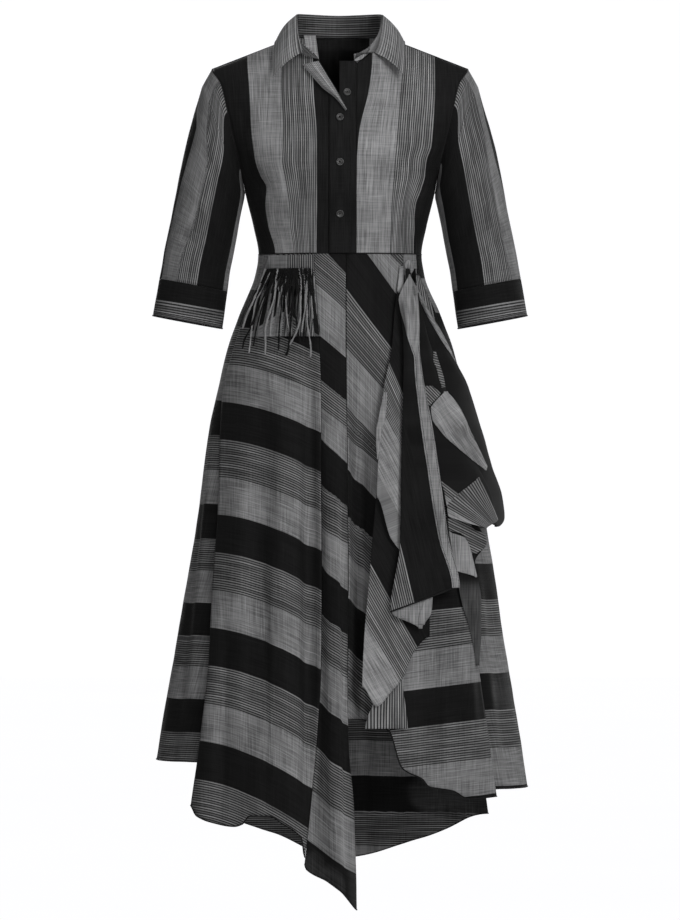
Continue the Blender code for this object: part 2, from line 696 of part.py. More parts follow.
def build_skirt(materials):
    middle = Vector((0.0, 0.0, -0.75))
    rows = steps(13)
    cloth("skirt_front_left", materials["striped"],
          front_panel("side_left", "princess", HEM_FRONT_LEFT, FRONT_LEFT_STAND),
          steps(9), rows, middle)
    cloth("skirt_centre_left", materials["striped"],
          front_panel("princess", "centre", HEM_CENTRE_LEFT), steps(5), rows, middle)
    cloth("skirt_centre_right", materials["striped"],
          front_panel("centre", "hip", HEM_FRONT_RIGHT, ease=CENTRE_SEAM_EASE),
          steps(6), rows, middle)
    cloth("skirt_front_right", materials["striped"],
          front_panel("hip", "side_right", HEM_FRONT_RIGHT), steps(7), rows, middle)
    cloth("skirt_side_left", materials["striped"],
          side_panel(-1, "side_left", HEM_SIDE_LEFT_DROP), steps(9), rows, middle)
    cloth("skirt_side_right", materials["striped"],
          side_panel(1, "side_right", HEM_SIDE_RIGHT_DROP), steps(9), rows, middle)
    cloth("skirt_back", materials["striped"], skirt_back, steps(17), rows, middle)


# ---- drape ----------------------------------------------------------------------------


def before_skirt(x, drop, stand):
    """Point at x that stands clear of the skirt's front, measured square to its cloth."""
    stand += max(front_fold(x, drop), 0.0)
    part = min(abs(x) / (SKIRT.at(drop, "half_width") + stand), 1.0)
    forward = (SKIRT.at(drop, "front") + stand) * math.sqrt(1 - part * part)
    return Vector((x, -forward, -drop))


def fall(table, hem=None, hem_rise=0.0):
    """Hanging layer of the drape between the two edges of its table."""
    def point(across, along):
        last = table.keys[-1]
        if hem:
            last = hem.at(across, "drop")
        drop = mix(table.keys[0], last - hem_rise * across, along)
        x = mix(table.at(drop, "left"), table.at(drop, "right"), across)
        sides = mix(table.at(drop, "stand_left"), table.at(drop, "stand_right"), across)
        middle = table.at(drop, "stand_middle") - mix(
            table.at(drop, "stand_left"), table.at(drop, "stand_right"), 0.5)
        return before_skirt(x, drop, sides + middle * math.sin(math.pi * across))
    return point


def side_drape(across, along):
    """Loop of cloth over the right hip: a front fold, its ridge, then round to the side."""
    drop = mix(SIDE_DRAPE.keys[0], SIDE_DRAPE_HEM.at(across, "drop"), along)
    half_width = SKIRT.at(drop, "half_width")
    stand = SIDE_DRAPE.at(drop, "stand")
    stand_left = SIDE_DRAPE.at(drop, "stand_left")
    left = math.degrees(math.asin(SIDE_DRAPE.at(drop, "left") / (half_width + stand_left)))
    ridge = math.degrees(math.asin(SIDE_DRAPE.at(drop, "ridge") / (half_width + stand)))
    if across <= RIDGE_ACROSS:
        part = across / RIDGE_ACROSS
        swell = RIDGE_SWELL * math.sin(math.pi * part)
        return skirt_ring(mix(left, ridge, part), drop, mix(stand_left, stand, part) + swell)
    part = (across - RIDGE_ACROSS) / (1 - RIDGE_ACROSS)
    sunk = RIDGE_SINK * (1 - smooth_rise(part, 0.05, 0.6)) * smooth_rise(part, 0.0, 0.06)
    home = smooth_rise(part, 0.7, 1.0) * smooth_rise(drop, 0.45, 0.55)
    angle = mix(ridge, SIDE_DRAPE.at(drop, "end_angle"), part)
    return skirt_ring(angle, drop, mix(stand - sunk, SEATED_STAND, home))


def drape_knot(materials):
    """Gathered knot where the drape is caught at the waist, a squashed ball."""
    bpy.ops.mesh.primitive_uv_sphere_add(segments=12, ring_count=7, radius=1.0)
    knot = bpy.context.object
    knot.name = "drape_knot"
    knot.scale = KNOT_SIZE
    knot.location = before_skirt(KNOT_X, KNOT_DROP, KNOT_STAND)
    move_to_dress(knot, materials["grey"])


def build_drape(materials):
    hip = Vector((0.05, 0.0, -0.70))
    striped = materials["striped"]
    cloth("drape_tail", materials["black"], fall(TAIL, hem_rise=TAIL_HEM_RISE),
          steps(6), steps(13), hip)
    cloth("drape_tail_corner", materials["grey"], fall(TAIL_CORNER), steps(4), steps(4), hip)
    cloth("drape_cascade_upper", striped, fall(CASCADE_UPPER, CASCADE_UPPER_HEM),
          steps(6), steps(9), hip)
    cloth("drape_cascade_lower", striped, fall(CASCADE_LOWER, CASCADE_LOWER_HEM),
          steps(9), steps(8), hip)
    cloth("drape_cascade_foot", striped, fall(CASCADE_FOOT), steps(4), steps(5), hip)
    cloth("drape_side", striped, side_drape, steps(14), steps(11), hip)
    cloth("drape_ruffle", striped, fall(RUFFLE), steps(6), steps(10), hip)
    drape_knot(materials)


# ---- pocket and buttons ---------------------------------------------------------------


def pocket_band(across, along):
    drop = mix(POCKET_BAND.keys[0], POCKET_BAND.keys[-1], along)
    x = mix(POCKET_BAND.at(drop, "left"), POCKET_BAND.at(drop, "right"), across)
    return before_skirt(x, drop, BAND_STAND)


def pouch(across, along):
    drop = mix(POUCH.keys[0], POUCH.keys[-1], along)
    x = mix(POUCH.at(drop, "left"), POUCH.at(drop, "right"), across)
    edge = math.sin(math.pi * min(max(across, 0.0), 1.0)) ** 0.4
    pleat = GATHER_DEPTH * math.cos(2 * math.pi * POUCH_GATHERS * across) * (1 - along)
    return before_skirt(x, drop, LAYER + POUCH.at(drop, "stand") * edge + pleat)


def fringe(across, along):
    drop = mix(FRINGE_TOP_DROP, FRINGE_HEM_DROP, along)
    spread = mix(0.90, 1.0, along)
    centre = (FRINGE_LEFT_X + FRINGE_RIGHT_X) / 2
    x = centre + (mix(FRINGE_LEFT_X, FRINGE_RIGHT_X, across) - centre) * spread
    held = min(drop, POUCH.keys[-1])
    edge = math.sin(math.pi * (0.08 + 0.84 * across)) ** 0.4
    stand = LAYER + POUCH.at(held, "stand") * edge + FRINGE_STAND
    return before_skirt(x, drop, stand)


def move_to_dress(obj, material):
    for collection in obj.users_collection:
        collection.objects.unlink(obj)
    DRESS.objects.link(obj)
    obj.data.materials.append(material)


def build_pocket(materials):
    hip = Vector((0.0, 0.0, -0.40))
    cloth("pocket_band", materials["grey"], pocket_band, steps(6), steps(3), hip)
    cloth("pocket_pouch", materials["striped"], pouch, steps(17), steps(5), hip)
    strands = cloth("pocket_fringe", materials["striped"], fringe, steps(7), steps(5), hip)
    strands.modifiers["Wall"].thickness = FRINGE_THICKNESS


def build_buttons(materials):
    for number, (x, drop, layer) in enumerate(BUTTONS, 1):
        bpy.ops.mesh.primitive_cylinder_add(
            vertices=16, radius=BUTTON_RADIUS, depth=BUTTON_THICKNESS)
        button = bpy.context.object
        button.name = f"button_{number}"
        reach = BUTTON_RADIUS
        seat = torso(-1, x, -drop, layer)
        along_x = torso(-1, x + reach, -drop, layer) - torso(-1, x - reach, -drop, layer)
        along_z = torso(-1, x, -drop + reach, layer) - torso(-1, x, -drop - reach, layer)
        normal = along_x.cross(along_z).normalized()
        button.rotation_euler = normal.to_track_quat("Z", "Y").to_euler()
        button.location = seat + normal * (SEAM_GAP + BUTTON_THICKNESS / 2)
        edge = button.modifiers.new("Edge", "BEVEL")
        edge.width = BUTTON_THICKNESS / 4
        edge.segments = 1
        move_to_dress(button, materials["button"])


# ---- the dress ------------------------------------------------------------------------


for leftover in list(bpy.data.objects):
    bpy.data.objects.remove(leftover, do_unlink=True)

DRESS = bpy.data.collections.new("striped_shirt_dress")
bpy.context.scene.collection.children.link(DRESS)


def build_dress():
    materials = {
        "black": finish("black cotton", BLACK, 0.85),
        "grey": finish("grey chambray", GREY, 0.85),
        "striped": finish("striped cotton", STRIPED, 0.85),
        "button": finish("black button", BUTTON_BLACK, 0.35),
    }
    build_bodice(materials)
    build_collar(materials)
    build_sleeves(materials)
    build_skirt(materials)
    build_drape(materials)
    build_pocket(materials)
    build_buttons(materials)


build_dress()
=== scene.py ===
"""Asymmetric striped shirt dress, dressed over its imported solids.

Metres, +Z up. The front faces -Y, and +X is on the right of somebody who faces the dress.
A piece's cloth is a grid of points, across and along, and carries a Fabric map: how far the
cloth lies along its stripes and across them, in metres. The bands repeat across the stripes:
fine lines, then grey, then black.
"""

import bisect
import functools
from math import (
    acos, asin, copysign, cos, degrees, exp, hypot, pi, radians, sin, sqrt, tau
)

import bmesh
import bpy
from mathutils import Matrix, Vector, noise


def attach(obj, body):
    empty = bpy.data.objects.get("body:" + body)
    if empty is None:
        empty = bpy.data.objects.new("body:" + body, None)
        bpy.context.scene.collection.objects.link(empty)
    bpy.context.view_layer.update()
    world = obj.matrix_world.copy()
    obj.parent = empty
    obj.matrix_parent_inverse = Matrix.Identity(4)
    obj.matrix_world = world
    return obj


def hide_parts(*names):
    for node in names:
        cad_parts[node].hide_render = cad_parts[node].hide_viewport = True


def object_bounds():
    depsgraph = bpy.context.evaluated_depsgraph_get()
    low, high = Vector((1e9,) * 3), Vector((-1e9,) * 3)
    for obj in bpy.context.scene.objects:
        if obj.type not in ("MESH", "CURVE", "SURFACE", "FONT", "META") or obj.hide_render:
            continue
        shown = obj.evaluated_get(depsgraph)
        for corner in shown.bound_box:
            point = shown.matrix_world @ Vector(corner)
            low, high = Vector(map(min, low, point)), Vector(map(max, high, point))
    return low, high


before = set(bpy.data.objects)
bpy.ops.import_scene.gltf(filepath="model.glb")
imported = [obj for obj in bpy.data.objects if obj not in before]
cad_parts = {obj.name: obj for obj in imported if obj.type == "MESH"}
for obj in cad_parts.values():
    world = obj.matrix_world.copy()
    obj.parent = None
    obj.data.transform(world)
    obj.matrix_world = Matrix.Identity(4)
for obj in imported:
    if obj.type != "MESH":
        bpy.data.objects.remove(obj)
CAD_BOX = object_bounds()

# ---- the cloth's own sizes ----

SHEET_WALL = 0.0009
HEM_RADIUS = 0.0011
PIPING_SIDES = 6
STITCH_LIFT = 0.0002
LINED_BAND = 0.055
GREY_BAND = 0.11
REPEAT = 0.165
LINE_PITCH = LINED_BAND / 16
LINE_CENTRE = 0.3
THREAD_PITCH = 0.0007
BAND_DRIFT = 0.0012
BAND_SOFTNESS = 0.0006
PLAIN_WIDTH = 0.048
# The middle of the grey and of the black band.
GREY_PLACE = 0.0825
BLACK_PLACE = 0.1375
# A face whose place leaps further than this lies at a seam, and takes one place all over.
LEAP = 0.035

# ---- the dress's sizes, as its solids have them ----

WALL = 0.0012
SEAM_GAP = 0.0003
LAYER = 0.0023

NECK_POINT_X = 0.072
NECK_POINT_Z = 0.01
SHOULDER_TIP_X = 0.198
SHOULDER_SLOPE = 0.389
SHOULDER_TIP_DROP = 0.039
ARMPIT_DROP = 0.231
WAIST_DROP = 0.327
NECK_RISE = 1.2
SHOULDER_ROUNDING = 2.5
BACK_NECK_DEPTH = 0.064
BACK_NECK_DROP = -0.0126

PLACKET_LEFT_X = -0.017
PLACKET_RIGHT_X = 0.016
UNDER_PLACKET_LEFT_X = -0.001
UNDER_PLACKET_RIGHT_X = 0.0255
UNDER_PLACKET_TOP_DROP = 0.03
OPENING_TOP = (-0.0325, -0.028)
OPENING_FOOT = (0.016, -0.11)

BUTTON_RADIUS = 0.0058
BUTTON_THICKNESS = 0.0022
BUTTONS = ((0.0109, 0.079, 0.0), (0.0, 0.118, LAYER), (0.0, 0.187, LAYER), (0.0, 0.266, LAYER))

BACK_SEAM_ANGLE = 130.0
TAPE_WALL = 0.0005
SIDE_SEAM_TOP = 0.232
PANEL_OVERLAP = 0.014
CUFF_START = 0.9
ARMHOLE_FOOT_GAP = 0.0006
ARMHOLE_GAP = 0.0004
HIP_ROWS = 5 / 12
HIP_DROP = 0.553
FOLD_START_DROP = 0.43
FOLD_FULL_DROP = 0.8
FOLD_HEM_DROP = 1.2
SEAM_HEM_DROP = 1.18
CENTRE_SEAM_EASE = 0.0009
FRONT_LEFT_STAND = 0.004
TAIL_HEM_RISE = 0.039
KNOT_X = 0.106
KNOT_DROP = 0.3475
KNOT_SIZE = (0.0085, 0.006, 0.011)
SEATED_STAND = 0.0022
RIDGE_ACROSS = 0.46
RIDGE_SWELL = 0.005
RIDGE_SINK = 0.007
BAND_STAND = 0.0042
POUCH_GATHERS = 10
POUCH_FULLNESS = 0.4
GATHER_DEPTH = 0.0085
ROLL_GAP = WALL + 2 * SEAM_GAP
LEAF_SWELL = 0.004
LEAF_LENGTH = 0.42
PATCH_BOW = 0.0035


class Table:
    """Rows of named columns, read on a smooth curve between its first and its last row."""

    def __init__(self, columns, *rows):
        self.columns = columns.split()
        self.rows = sorted(rows)
        self.keys = [row[0] for row in self.rows]
        self.values = dict(zip(self.columns, zip(*self.rows)))

    def at(self, key, column):
        values = self.values[column]
        key = limit(key, self.keys[0], self.keys[-1])
        high = limit(bisect.bisect_right(self.keys, key), 1, len(values) - 1)
        low = high - 1
        span = self.keys[high] - self.keys[low]
        part = (key - self.keys[low]) / span
        rise = values[high] - values[low]
        before = self._slope(values, low) * span
        after = self._slope(values, high) * span
        square = part * part
        cube = square * part
        eased = rise * (3 * square - 2 * cube)
        return (values[low] + eased + before * (cube - 2 * square + part)
                + after * (cube - square))

    def _slope(self, values, place):
        """Slope at a row, level where the values turn, so that the curve never overshoots."""
        if place in (0, len(values) - 1):
            return 0.0
        fall = (values[place] - values[place - 1]) / (self.keys[place] - self.keys[place - 1])
        rise = (values[place + 1] - values[place]) / (self.keys[place + 1] - self.keys[place])
        if fall * rise <= 0:
            return 0.0
        return 2 * fall * rise / (fall + rise)

    def key_at(self, part):
        """Key at a share of the way from the first row to the last."""
        return mix(self.keys[0], self.keys[-1], part)

    def between(self, key, part, low="left", high="right"):
        """Value at a share of the way from one column to another."""
        return mix(self.at(key, low), self.at(key, high), part)

    def share(self, key, x):
        """Share of the way from the left column to the right one at which x lies."""
        left, right = self.at(key, "left"), self.at(key, "right")
        return limit((x - left) / (right - left))


def edges(*rows):
    """Left and right edge of a layer at each drop."""
    return Table("drop left right", *rows)


def hanging(*rows):
    """Edges of a hanging layer, and how far it stands out from the smooth skirt."""
    return Table("drop left right stand_left stand_middle stand_right", *rows)


# Side line and armhole of the bodice, with the depth of its front and back at the centre.
# The depths and the armhole's reach are those before the shoulder is rounded over.
TORSO = Table(
    "drop half_width armhole_reach front back",
    (-0.01, 0.205, 0.0, 0.088, 0.078),
    (0.039, 0.198, 0.066, 0.094, 0.092),
    (0.0635, 0.1835, 0.064, 0.099, 0.1),
    (0.107, 0.173, 0.06, 0.106, 0.105),
    (0.149, 0.164, 0.053, 0.114, 0.104),
    (0.188, 0.1545, 0.036, 0.118, 0.099),
    (0.231, 0.147, 0.0, 0.115, 0.092),
    (0.285, 0.134, 0.0, 0.101, 0.082),
    (0.327, 0.1265, 0.0, 0.094, 0.078),
)

# Outer and underarm line of a sleeve, down to its cuff, with half its depth front to back.
SLEEVE = Table(
    "length outer_x outer_drop under_x under_drop half_depth",
    (0.1, 0.214, 0.067, 0.1482, 0.239, 0.06),
    (0.2, 0.224, 0.102, 0.151, 0.252, 0.062),
    (0.35, 0.237, 0.15, 0.156, 0.275, 0.061),
    (0.5, 0.251, 0.212, 0.161, 0.303, 0.058),
    (0.66, 0.2635, 0.276, 0.166, 0.331, 0.054),
    (0.82, 0.273, 0.322, 0.1705, 0.355, 0.05),
    (0.9, 0.28, 0.364, 0.174, 0.384, 0.047),
    (1.0, 0.29, 0.421, 0.1825, 0.441, 0.046),
)

# The skirt's rings: half the width and the depth of its front and back, without folds.
SKIRT = Table(
    "drop half_width front back",
    (0.327, 0.1265, 0.094, 0.078),
    (0.36, 0.1315, 0.101, 0.088),
    (0.417, 0.155, 0.118, 0.106),
    (0.48, 0.177, 0.133, 0.12),
    (0.553, 0.192, 0.145, 0.132),
    (0.65, 0.212, 0.158, 0.146),
    (0.738, 0.226, 0.17, 0.158),
    (0.848, 0.243, 0.183, 0.172),
    (0.939, 0.257, 0.193, 0.182),
    (1.056, 0.276, 0.206, 0.196),
    (1.146, 0.29, 0.216, 0.205),
    (1.34, 0.318, 0.232, 0.222),
)

# Where the skirt's front seams lie, as x at each drop.
SKIRT_SEAMS = Table(
    "drop side_left princess centre hip side_right",
    (0.327, -0.118, -0.04, 0.009, 0.098, 0.118),
    (0.44, -0.156, -0.033, 0.009, 0.09, 0.156),
    (0.553, -0.183, -0.029, 0.01, 0.085, 0.178),
    (0.738, -0.189, -0.029, 0.0124, 0.08, 0.193),
    (0.848, -0.197, -0.029, 0.0124, 0.078, 0.202),
    (0.966, -0.203, -0.03, 0.0124, 0.076, 0.214),
    (1.077, -0.2155, -0.036, 0.014, 0.076, 0.229),
    (1.178, -0.23, -0.045, 0.022, 0.077, 0.243),
    (1.34, -0.25, -0.06, 0.0265, 0.08, 0.26),
)

# Hems. The left front ends in a long handkerchief point, the right front is cut short.
HEM_FRONT_LEFT = Table(
    "x drop",
    (-0.235, 1.17), (-0.218, 1.189), (-0.195, 1.198), (-0.158, 1.204), (-0.145, 1.2),
    (-0.137, 1.188), (-0.107, 1.187), (-0.088, 1.197), (-0.054, 1.22), (-0.045, 1.25),
)
HEM_CENTRE_LEFT = Table(
    "x drop",
    (-0.06, 1.225), (-0.048, 1.25), (-0.042, 1.268), (-0.013, 1.2865), (0.0056, 1.3035),
    (0.0265, 1.332),
)
HEM_FRONT_RIGHT = Table(
    "x drop",
    (0.01, 1.04), (0.06, 1.045), (0.077, 1.06), (0.096, 1.114), (0.125, 1.131),
    (0.136, 1.143), (0.1745, 1.15), (0.198, 1.163), (0.26, 1.16),
)
HEM_BACK = Table(
    "angle drop",
    (-130.0, 1.19), (-160.0, 1.232), (-180.0, 1.272), (-204.0, 1.24), (-230.0, 1.198),
)
HEM_SIDE_LEFT_DROP = 1.108
HEM_SIDE_RIGHT_DROP = 1.15

# Long folds of the front, standing forward or sinking back, by x at the waist and the hem.
FRONT_FOLDS = Table(
    "place x_waist x_hem half_width forward",
    (0, -0.112, -0.215, 0.02, 0.008),
    (1, -0.092, -0.155, 0.018, -0.005),
    (2, -0.076, -0.118, 0.02, 0.007),
    (3, -0.04, -0.04, 0.017, -0.013),
    (4, -0.006, 0.006, 0.017, 0.02),
    (5, 0.03, 0.036, 0.016, -0.034),
    (6, 0.072, 0.112, 0.02, 0.006),
    (7, 0.1, 0.182, 0.024, -0.006),
    (8, 0.112, 0.225, 0.018, 0.008),
)

# Soft folds round the sides and the back, by angle from the centre front.
ROUND_FOLDS = Table(
    "angle half_width outward",
    (-212.0, 10.0, 0.01), (-196.0, 8.0, -0.008), (-180.0, 9.0, 0.012), (-164.0, 8.0, -0.008),
    (-148.0, 9.0, 0.011), (-136.0, 7.0, -0.006),
)

# The gathered drape at the right hip, layer by layer.
TAIL = hanging(
    (0.35, 0.101, 0.1075, 0.0135, 0.0138, 0.0143),
    (0.364, 0.101, 0.111, 0.018, 0.02, 0.018),
    (0.385, 0.095, 0.12, 0.02, 0.028, 0.02),
    (0.404, 0.0915, 0.122, 0.022, 0.032, 0.022),
    (0.45, 0.096, 0.1205, 0.024, 0.033, 0.024),
    (0.49, 0.0975, 0.122, 0.026, 0.034, 0.026),
    (0.56, 0.096, 0.134, 0.028, 0.036, 0.027),
    (0.65, 0.0935, 0.147, 0.029, 0.038, 0.026),
    (0.77, 0.0915, 0.169, 0.03, 0.04, 0.026),
    (0.876, 0.076, 0.184, 0.03, 0.042, 0.026),
)
TAIL_CORNER = hanging(
    (0.82, 0.09, 0.142, 0.0294, 0.0374, 0.0368),
    (0.878, 0.079, 0.138, 0.027, 0.032, 0.03),
    (0.902, 0.1205, 0.125, 0.026, 0.028, 0.026),
)
CASCADE_UPPER = hanging(
    (0.346, 0.0915, 0.0975, 0.004, 0.0042, 0.0042),
    (0.38, 0.0885, 0.098, 0.007, 0.01, 0.011),
    (0.405, 0.085, 0.1, 0.008, 0.011, 0.012),
    (0.474, 0.079, 0.108, 0.01, 0.013, 0.014),
    (0.553, 0.064, 0.11, 0.016, 0.019, 0.015),
    (0.64, 0.0585, 0.108, 0.02, 0.023, 0.015),
    (0.702, 0.056, 0.105, 0.021, 0.023, 0.015),
)
CASCADE_LOWER = hanging(
    (0.56, 0.075, 0.108, 0.0164, 0.017, 0.0132),
    (0.64, 0.062, 0.12, 0.011, 0.012, 0.008),
    (0.71, 0.0545, 0.13, 0.012, 0.013, 0.007),
    (0.801, 0.0465, 0.137, 0.016, 0.015, 0.008),
    (0.924, 0.0365, 0.137, 0.02, 0.016, 0.008),
    (0.99, 0.034, 0.135, 0.022, 0.016, 0.008),
)
CASCADE_FOOT = hanging(
    (0.93, 0.064, 0.09, 0.016, 0.015, 0.0134),
    (0.99, 0.059, 0.096, 0.013, 0.013, 0.01),
    (1.054, 0.0385, 0.1035, 0.012, 0.013, 0.008),
)
CASCADE_UPPER_HEM = Table("across drop", (0.0, 0.702), (0.45, 0.765), (1.0, 0.79))
CASCADE_LOWER_HEM = Table(
    "across drop",
    (0.0, 0.99), (0.22, 1.02), (0.42, 1.0), (0.62, 0.975), (0.75, 0.94), (1.0, 0.915),
)
SIDE_DRAPE = Table(
    "drop left ridge end_angle stand_left stand",
    (0.35, 0.1152, 0.1156, 58.5, 0.0105, 0.0105),
    (0.386, 0.117, 0.1215, 60.0, 0.012, 0.012),
    (0.43, 0.1185, 0.129, 61.0, 0.012, 0.012),
    (0.48, 0.12, 0.143, 68.0, 0.012, 0.013),
    (0.534, 0.127, 0.162, 92.0, 0.012, 0.014),
    (0.6, 0.135, 0.188, 104.0, 0.012, 0.018),
    (0.655, 0.142, 0.212, 108.0, 0.013, 0.023),
    (0.7, 0.152, 0.233, 110.0, 0.013, 0.032),
    (0.75, 0.161, 0.242, 110.0, 0.013, 0.031),
)
SIDE_DRAPE_HEM = Table(
    "across drop",
    (0.0, 0.712), (0.18, 0.726), (0.36, 0.742), (0.52, 0.748), (0.7, 0.735), (1.0, 0.64),
)
RUFFLE = hanging(
    (0.69, 0.16, 0.188, 0.0092, 0.0149, 0.0209),
    (0.738, 0.165, 0.208, 0.007, 0.01, 0.01),
    (0.772, 0.17, 0.225, 0.009, 0.012, 0.018),
    (0.8, 0.176, 0.208, 0.008, 0.01, 0.018),
    (0.86, 0.186, 0.217, 0.006, 0.009, 0.016),
    (0.91, 0.201, 0.217, 0.005, 0.007, 0.012),
    (0.96, 0.209, 0.214, 0.004, 0.005, 0.006),
)

# The pocket: a flat band at the waist seam and a gathered pouch that hangs from it.
POCKET_BAND = edges((0.329, -0.112, -0.04), (0.3505, -0.1175, -0.0405))
POUCH = Table(
    "drop left right stand",
    (0.351, -0.1165, -0.041, 0.003),
    (0.38, -0.1235, -0.039, 0.009),
    (0.415, -0.132, -0.035, 0.012),
    (0.44, -0.1385, -0.031, 0.01),
    (0.455, -0.1395, -0.03, 0.006),
)

# The collar, by angle from the centre back; the front ends lie at different angles.
COLLAR = Table(
    "angle base_x base_y base_drop roll_x roll_y roll_drop",
    (-156.0, -0.034, -0.07, 0.027, -0.048, -0.074, 0.024),
    (-128.0, -0.0545, -0.048, 0.006, -0.06, -0.059, 0.017),
    (-110.0, -0.065, -0.024, -0.007, -0.065, -0.03, -0.018),
    (-90.0, -0.069, 0.002, -0.012, -0.0655, 0.0, -0.045),
    (-45.0, -0.05, 0.044, -0.013, -0.05, 0.045, -0.047),
    (0.0, 0.0, 0.064, -0.013, 0.0, 0.064, -0.046),
    (45.0, 0.05, 0.044, -0.013, 0.05, 0.045, -0.047),
    (90.0, 0.069, 0.002, -0.012, 0.065, 0.0, -0.045),
    (110.0, 0.065, -0.024, -0.007, 0.062, -0.03, -0.018),
    (130.0, 0.053, -0.048, 0.006, 0.05, -0.059, 0.017),
    (164.0, 0.023, -0.072, 0.027, 0.026, -0.078, 0.018),
)
LEAF = Table(
    "angle edge_x edge_y edge_drop",
    (-128.0, -0.102, -0.083, 0.057),
    (-110.0, -0.101, -0.04, 0.016),
    (-90.0, -0.0975, -0.002, -0.0035),
    (-45.0, -0.072, 0.072, -0.002),
    (0.0, 0.0, 0.101, 0.006),
    (45.0, 0.072, 0.072, -0.002),
    (90.0, 0.0985, -0.002, -0.0035),
    (110.0, 0.099, -0.04, 0.014),
    (128.0, 0.097, -0.083, 0.052),
)

# Turned-back top of the left front edge, between its fold and its curved lip.
LAPEL = Table(
    "along fold_x fold_drop lip_x lip_drop stand",
    (0.0, -0.0335, 0.03, -0.057, 0.035, 0.005),
    (0.2, -0.0245, 0.045, -0.0495, 0.045, 0.0075),
    (0.5, -0.011, 0.068, -0.027, 0.071, 0.0085),
    (0.8, 0.002, 0.091, -0.004, 0.0905, 0.007),
    (1.0, 0.0105, 0.106, 0.009, 0.1075, 0.005),
)



# Flat cuts of the cloth by how it is held: width, length, area and what carries it.
CUTS = {
    "hung": dict(
        bodice_front_left=(0.23, 0.36, 0.06, "collar_stand"),
        bodice_front_right=(0.22, 0.36, 0.057, "collar_stand"),
        bodice_back=(0.44, 0.36, 0.13, "collar_stand"),
        sleeve_left=(0.36, 0.33, 0.09, "bodice_front_left"),
        sleeve_right=(0.36, 0.33, 0.09, "bodice_front_right"),
        skirt_front_left=(0.28, 0.96, 0.165, "bodice_front_left"),
        skirt_centre_left=(0.1, 1.03, 0.06, "placket_top"),
        skirt_centre_right=(0.14, 0.8, 0.07, "placket_top"),
        skirt_front_right=(0.22, 0.86, 0.112, "bodice_front_right"),
        skirt_side_left=(0.3, 0.81, 0.166, "bodice_back"),
        skirt_side_right=(0.3, 0.85, 0.175, "bodice_back"),
        skirt_back=(0.6, 0.98, 0.356, "bodice_back"),
    ),
    "folded": dict(
        placket_top=(0.031, 0.275, 0.0084, "bodice_front_left"),
        placket_under=(0.028, 0.3, 0.0083, "bodice_front_right"),
        lapel_turned_back=(0.045, 0.1, 0.002, "bodice_front_left"),
        collar_stand=(0.036, 0.33, 0.01, "bodice_back"),
        collar_leaf=(0.075, 0.42, 0.025, "collar_stand"),
        cuff_left=(0.25, 0.075, 0.0185, "sleeve_left"),
        cuff_right=(0.25, 0.075, 0.0185, "sleeve_right"),
        tail_facing=(0.034, 0.5, 0.0116, "drape_tail"),
        corner_turn=(0.024, 0.074, 0.0011, "drape_tail_corner"),
        upper_turn=(0.018, 0.108, 0.0009, "drape_cascade_upper"),
        side_leaf=(0.1, 0.14, 0.0066, "drape_side"),
        side_corner=(0.028, 0.034, 0.0006, "drape_side"),
        side_sliver=(0.02, 0.06, 0.0007, "drape_side"),
        side_triangle=(0.028, 0.038, 0.0005, "drape_side"),
        side_roll=(0.014, 0.155, 0.0019, "drape_side"),
        ruffle_flap=(0.065, 0.085, 0.0026, "drape_ruffle"),
        ruffle_leaf=(0.048, 0.08, 0.0025, "drape_ruffle"),
        pocket_band=(0.092, 0.023, 0.0021, "skirt_front_left"),
    ),
    "draped": dict(
        drape_tail=(0.13, 0.55, 0.032, "drape_knot"),
        drape_tail_corner=(0.075, 0.09, 0.0046, "drape_tail"),
        drape_cascade_upper=(0.07, 0.46, 0.018, "drape_knot"),
        drape_cascade_lower=(0.12, 0.48, 0.037, "drape_cascade_upper"),
        drape_cascade_foot=(0.068, 0.13, 0.0055, "drape_cascade_lower"),
        drape_ruffle=(0.075, 0.29, 0.0115, "drape_side"),
    ),
    "gathered": dict(
        drape_side=(0.21, 0.43, 0.056, "drape_knot"),
        side_fan=(0.088, 0.092, 0.0051, "drape_side"),
        drape_knot=(0.03, 0.06, 0.0008, "skirt_front_right"),
        pocket_pouch=(0.16, 0.115, 0.018, "pocket_band"),
    ),
}


# ---- how the cloth hangs ----


def mix(low, high, part):
    return low + (high - low) * part


def limit(value, low=0.0, high=1.0):
    return min(max(value, low), high)


def steps(count, first=0.0, last=1.0):
    return [mix(first, last, index / (count - 1)) for index in range(count)]


def split(part, count):
    """Row just before a share of the way through count rows, and the share beyond it."""
    place = part * (count - 1)
    low = min(int(place), count - 2)
    return low, place - low


def full_turn(count):
    """Angles in degrees once round a tube of cloth."""
    return [-180 + 360 * index / count for index in range(count)]


def corners(count):
    """Angles in radians of the corners of a ring."""
    return [tau * corner / count for corner in range(count)]


def smooth_rise(value, low, high):
    part = limit((value - low) / (high - low))
    return part * part * (3 - 2 * part)


def arch(part):
    """0 at both ends of a span and 1 midway."""
    return sin(pi * part)


def bell(offset, half_width):
    return exp(-((offset / half_width) ** 2))


def shoulder_height(x):
    """Height of the shoulder's top at x, rising up the neck inside the neck point."""
    beyond = abs(x) - NECK_POINT_X
    return NECK_POINT_Z - (SHOULDER_SLOPE if beyond > 0 else NECK_RISE) * beyond


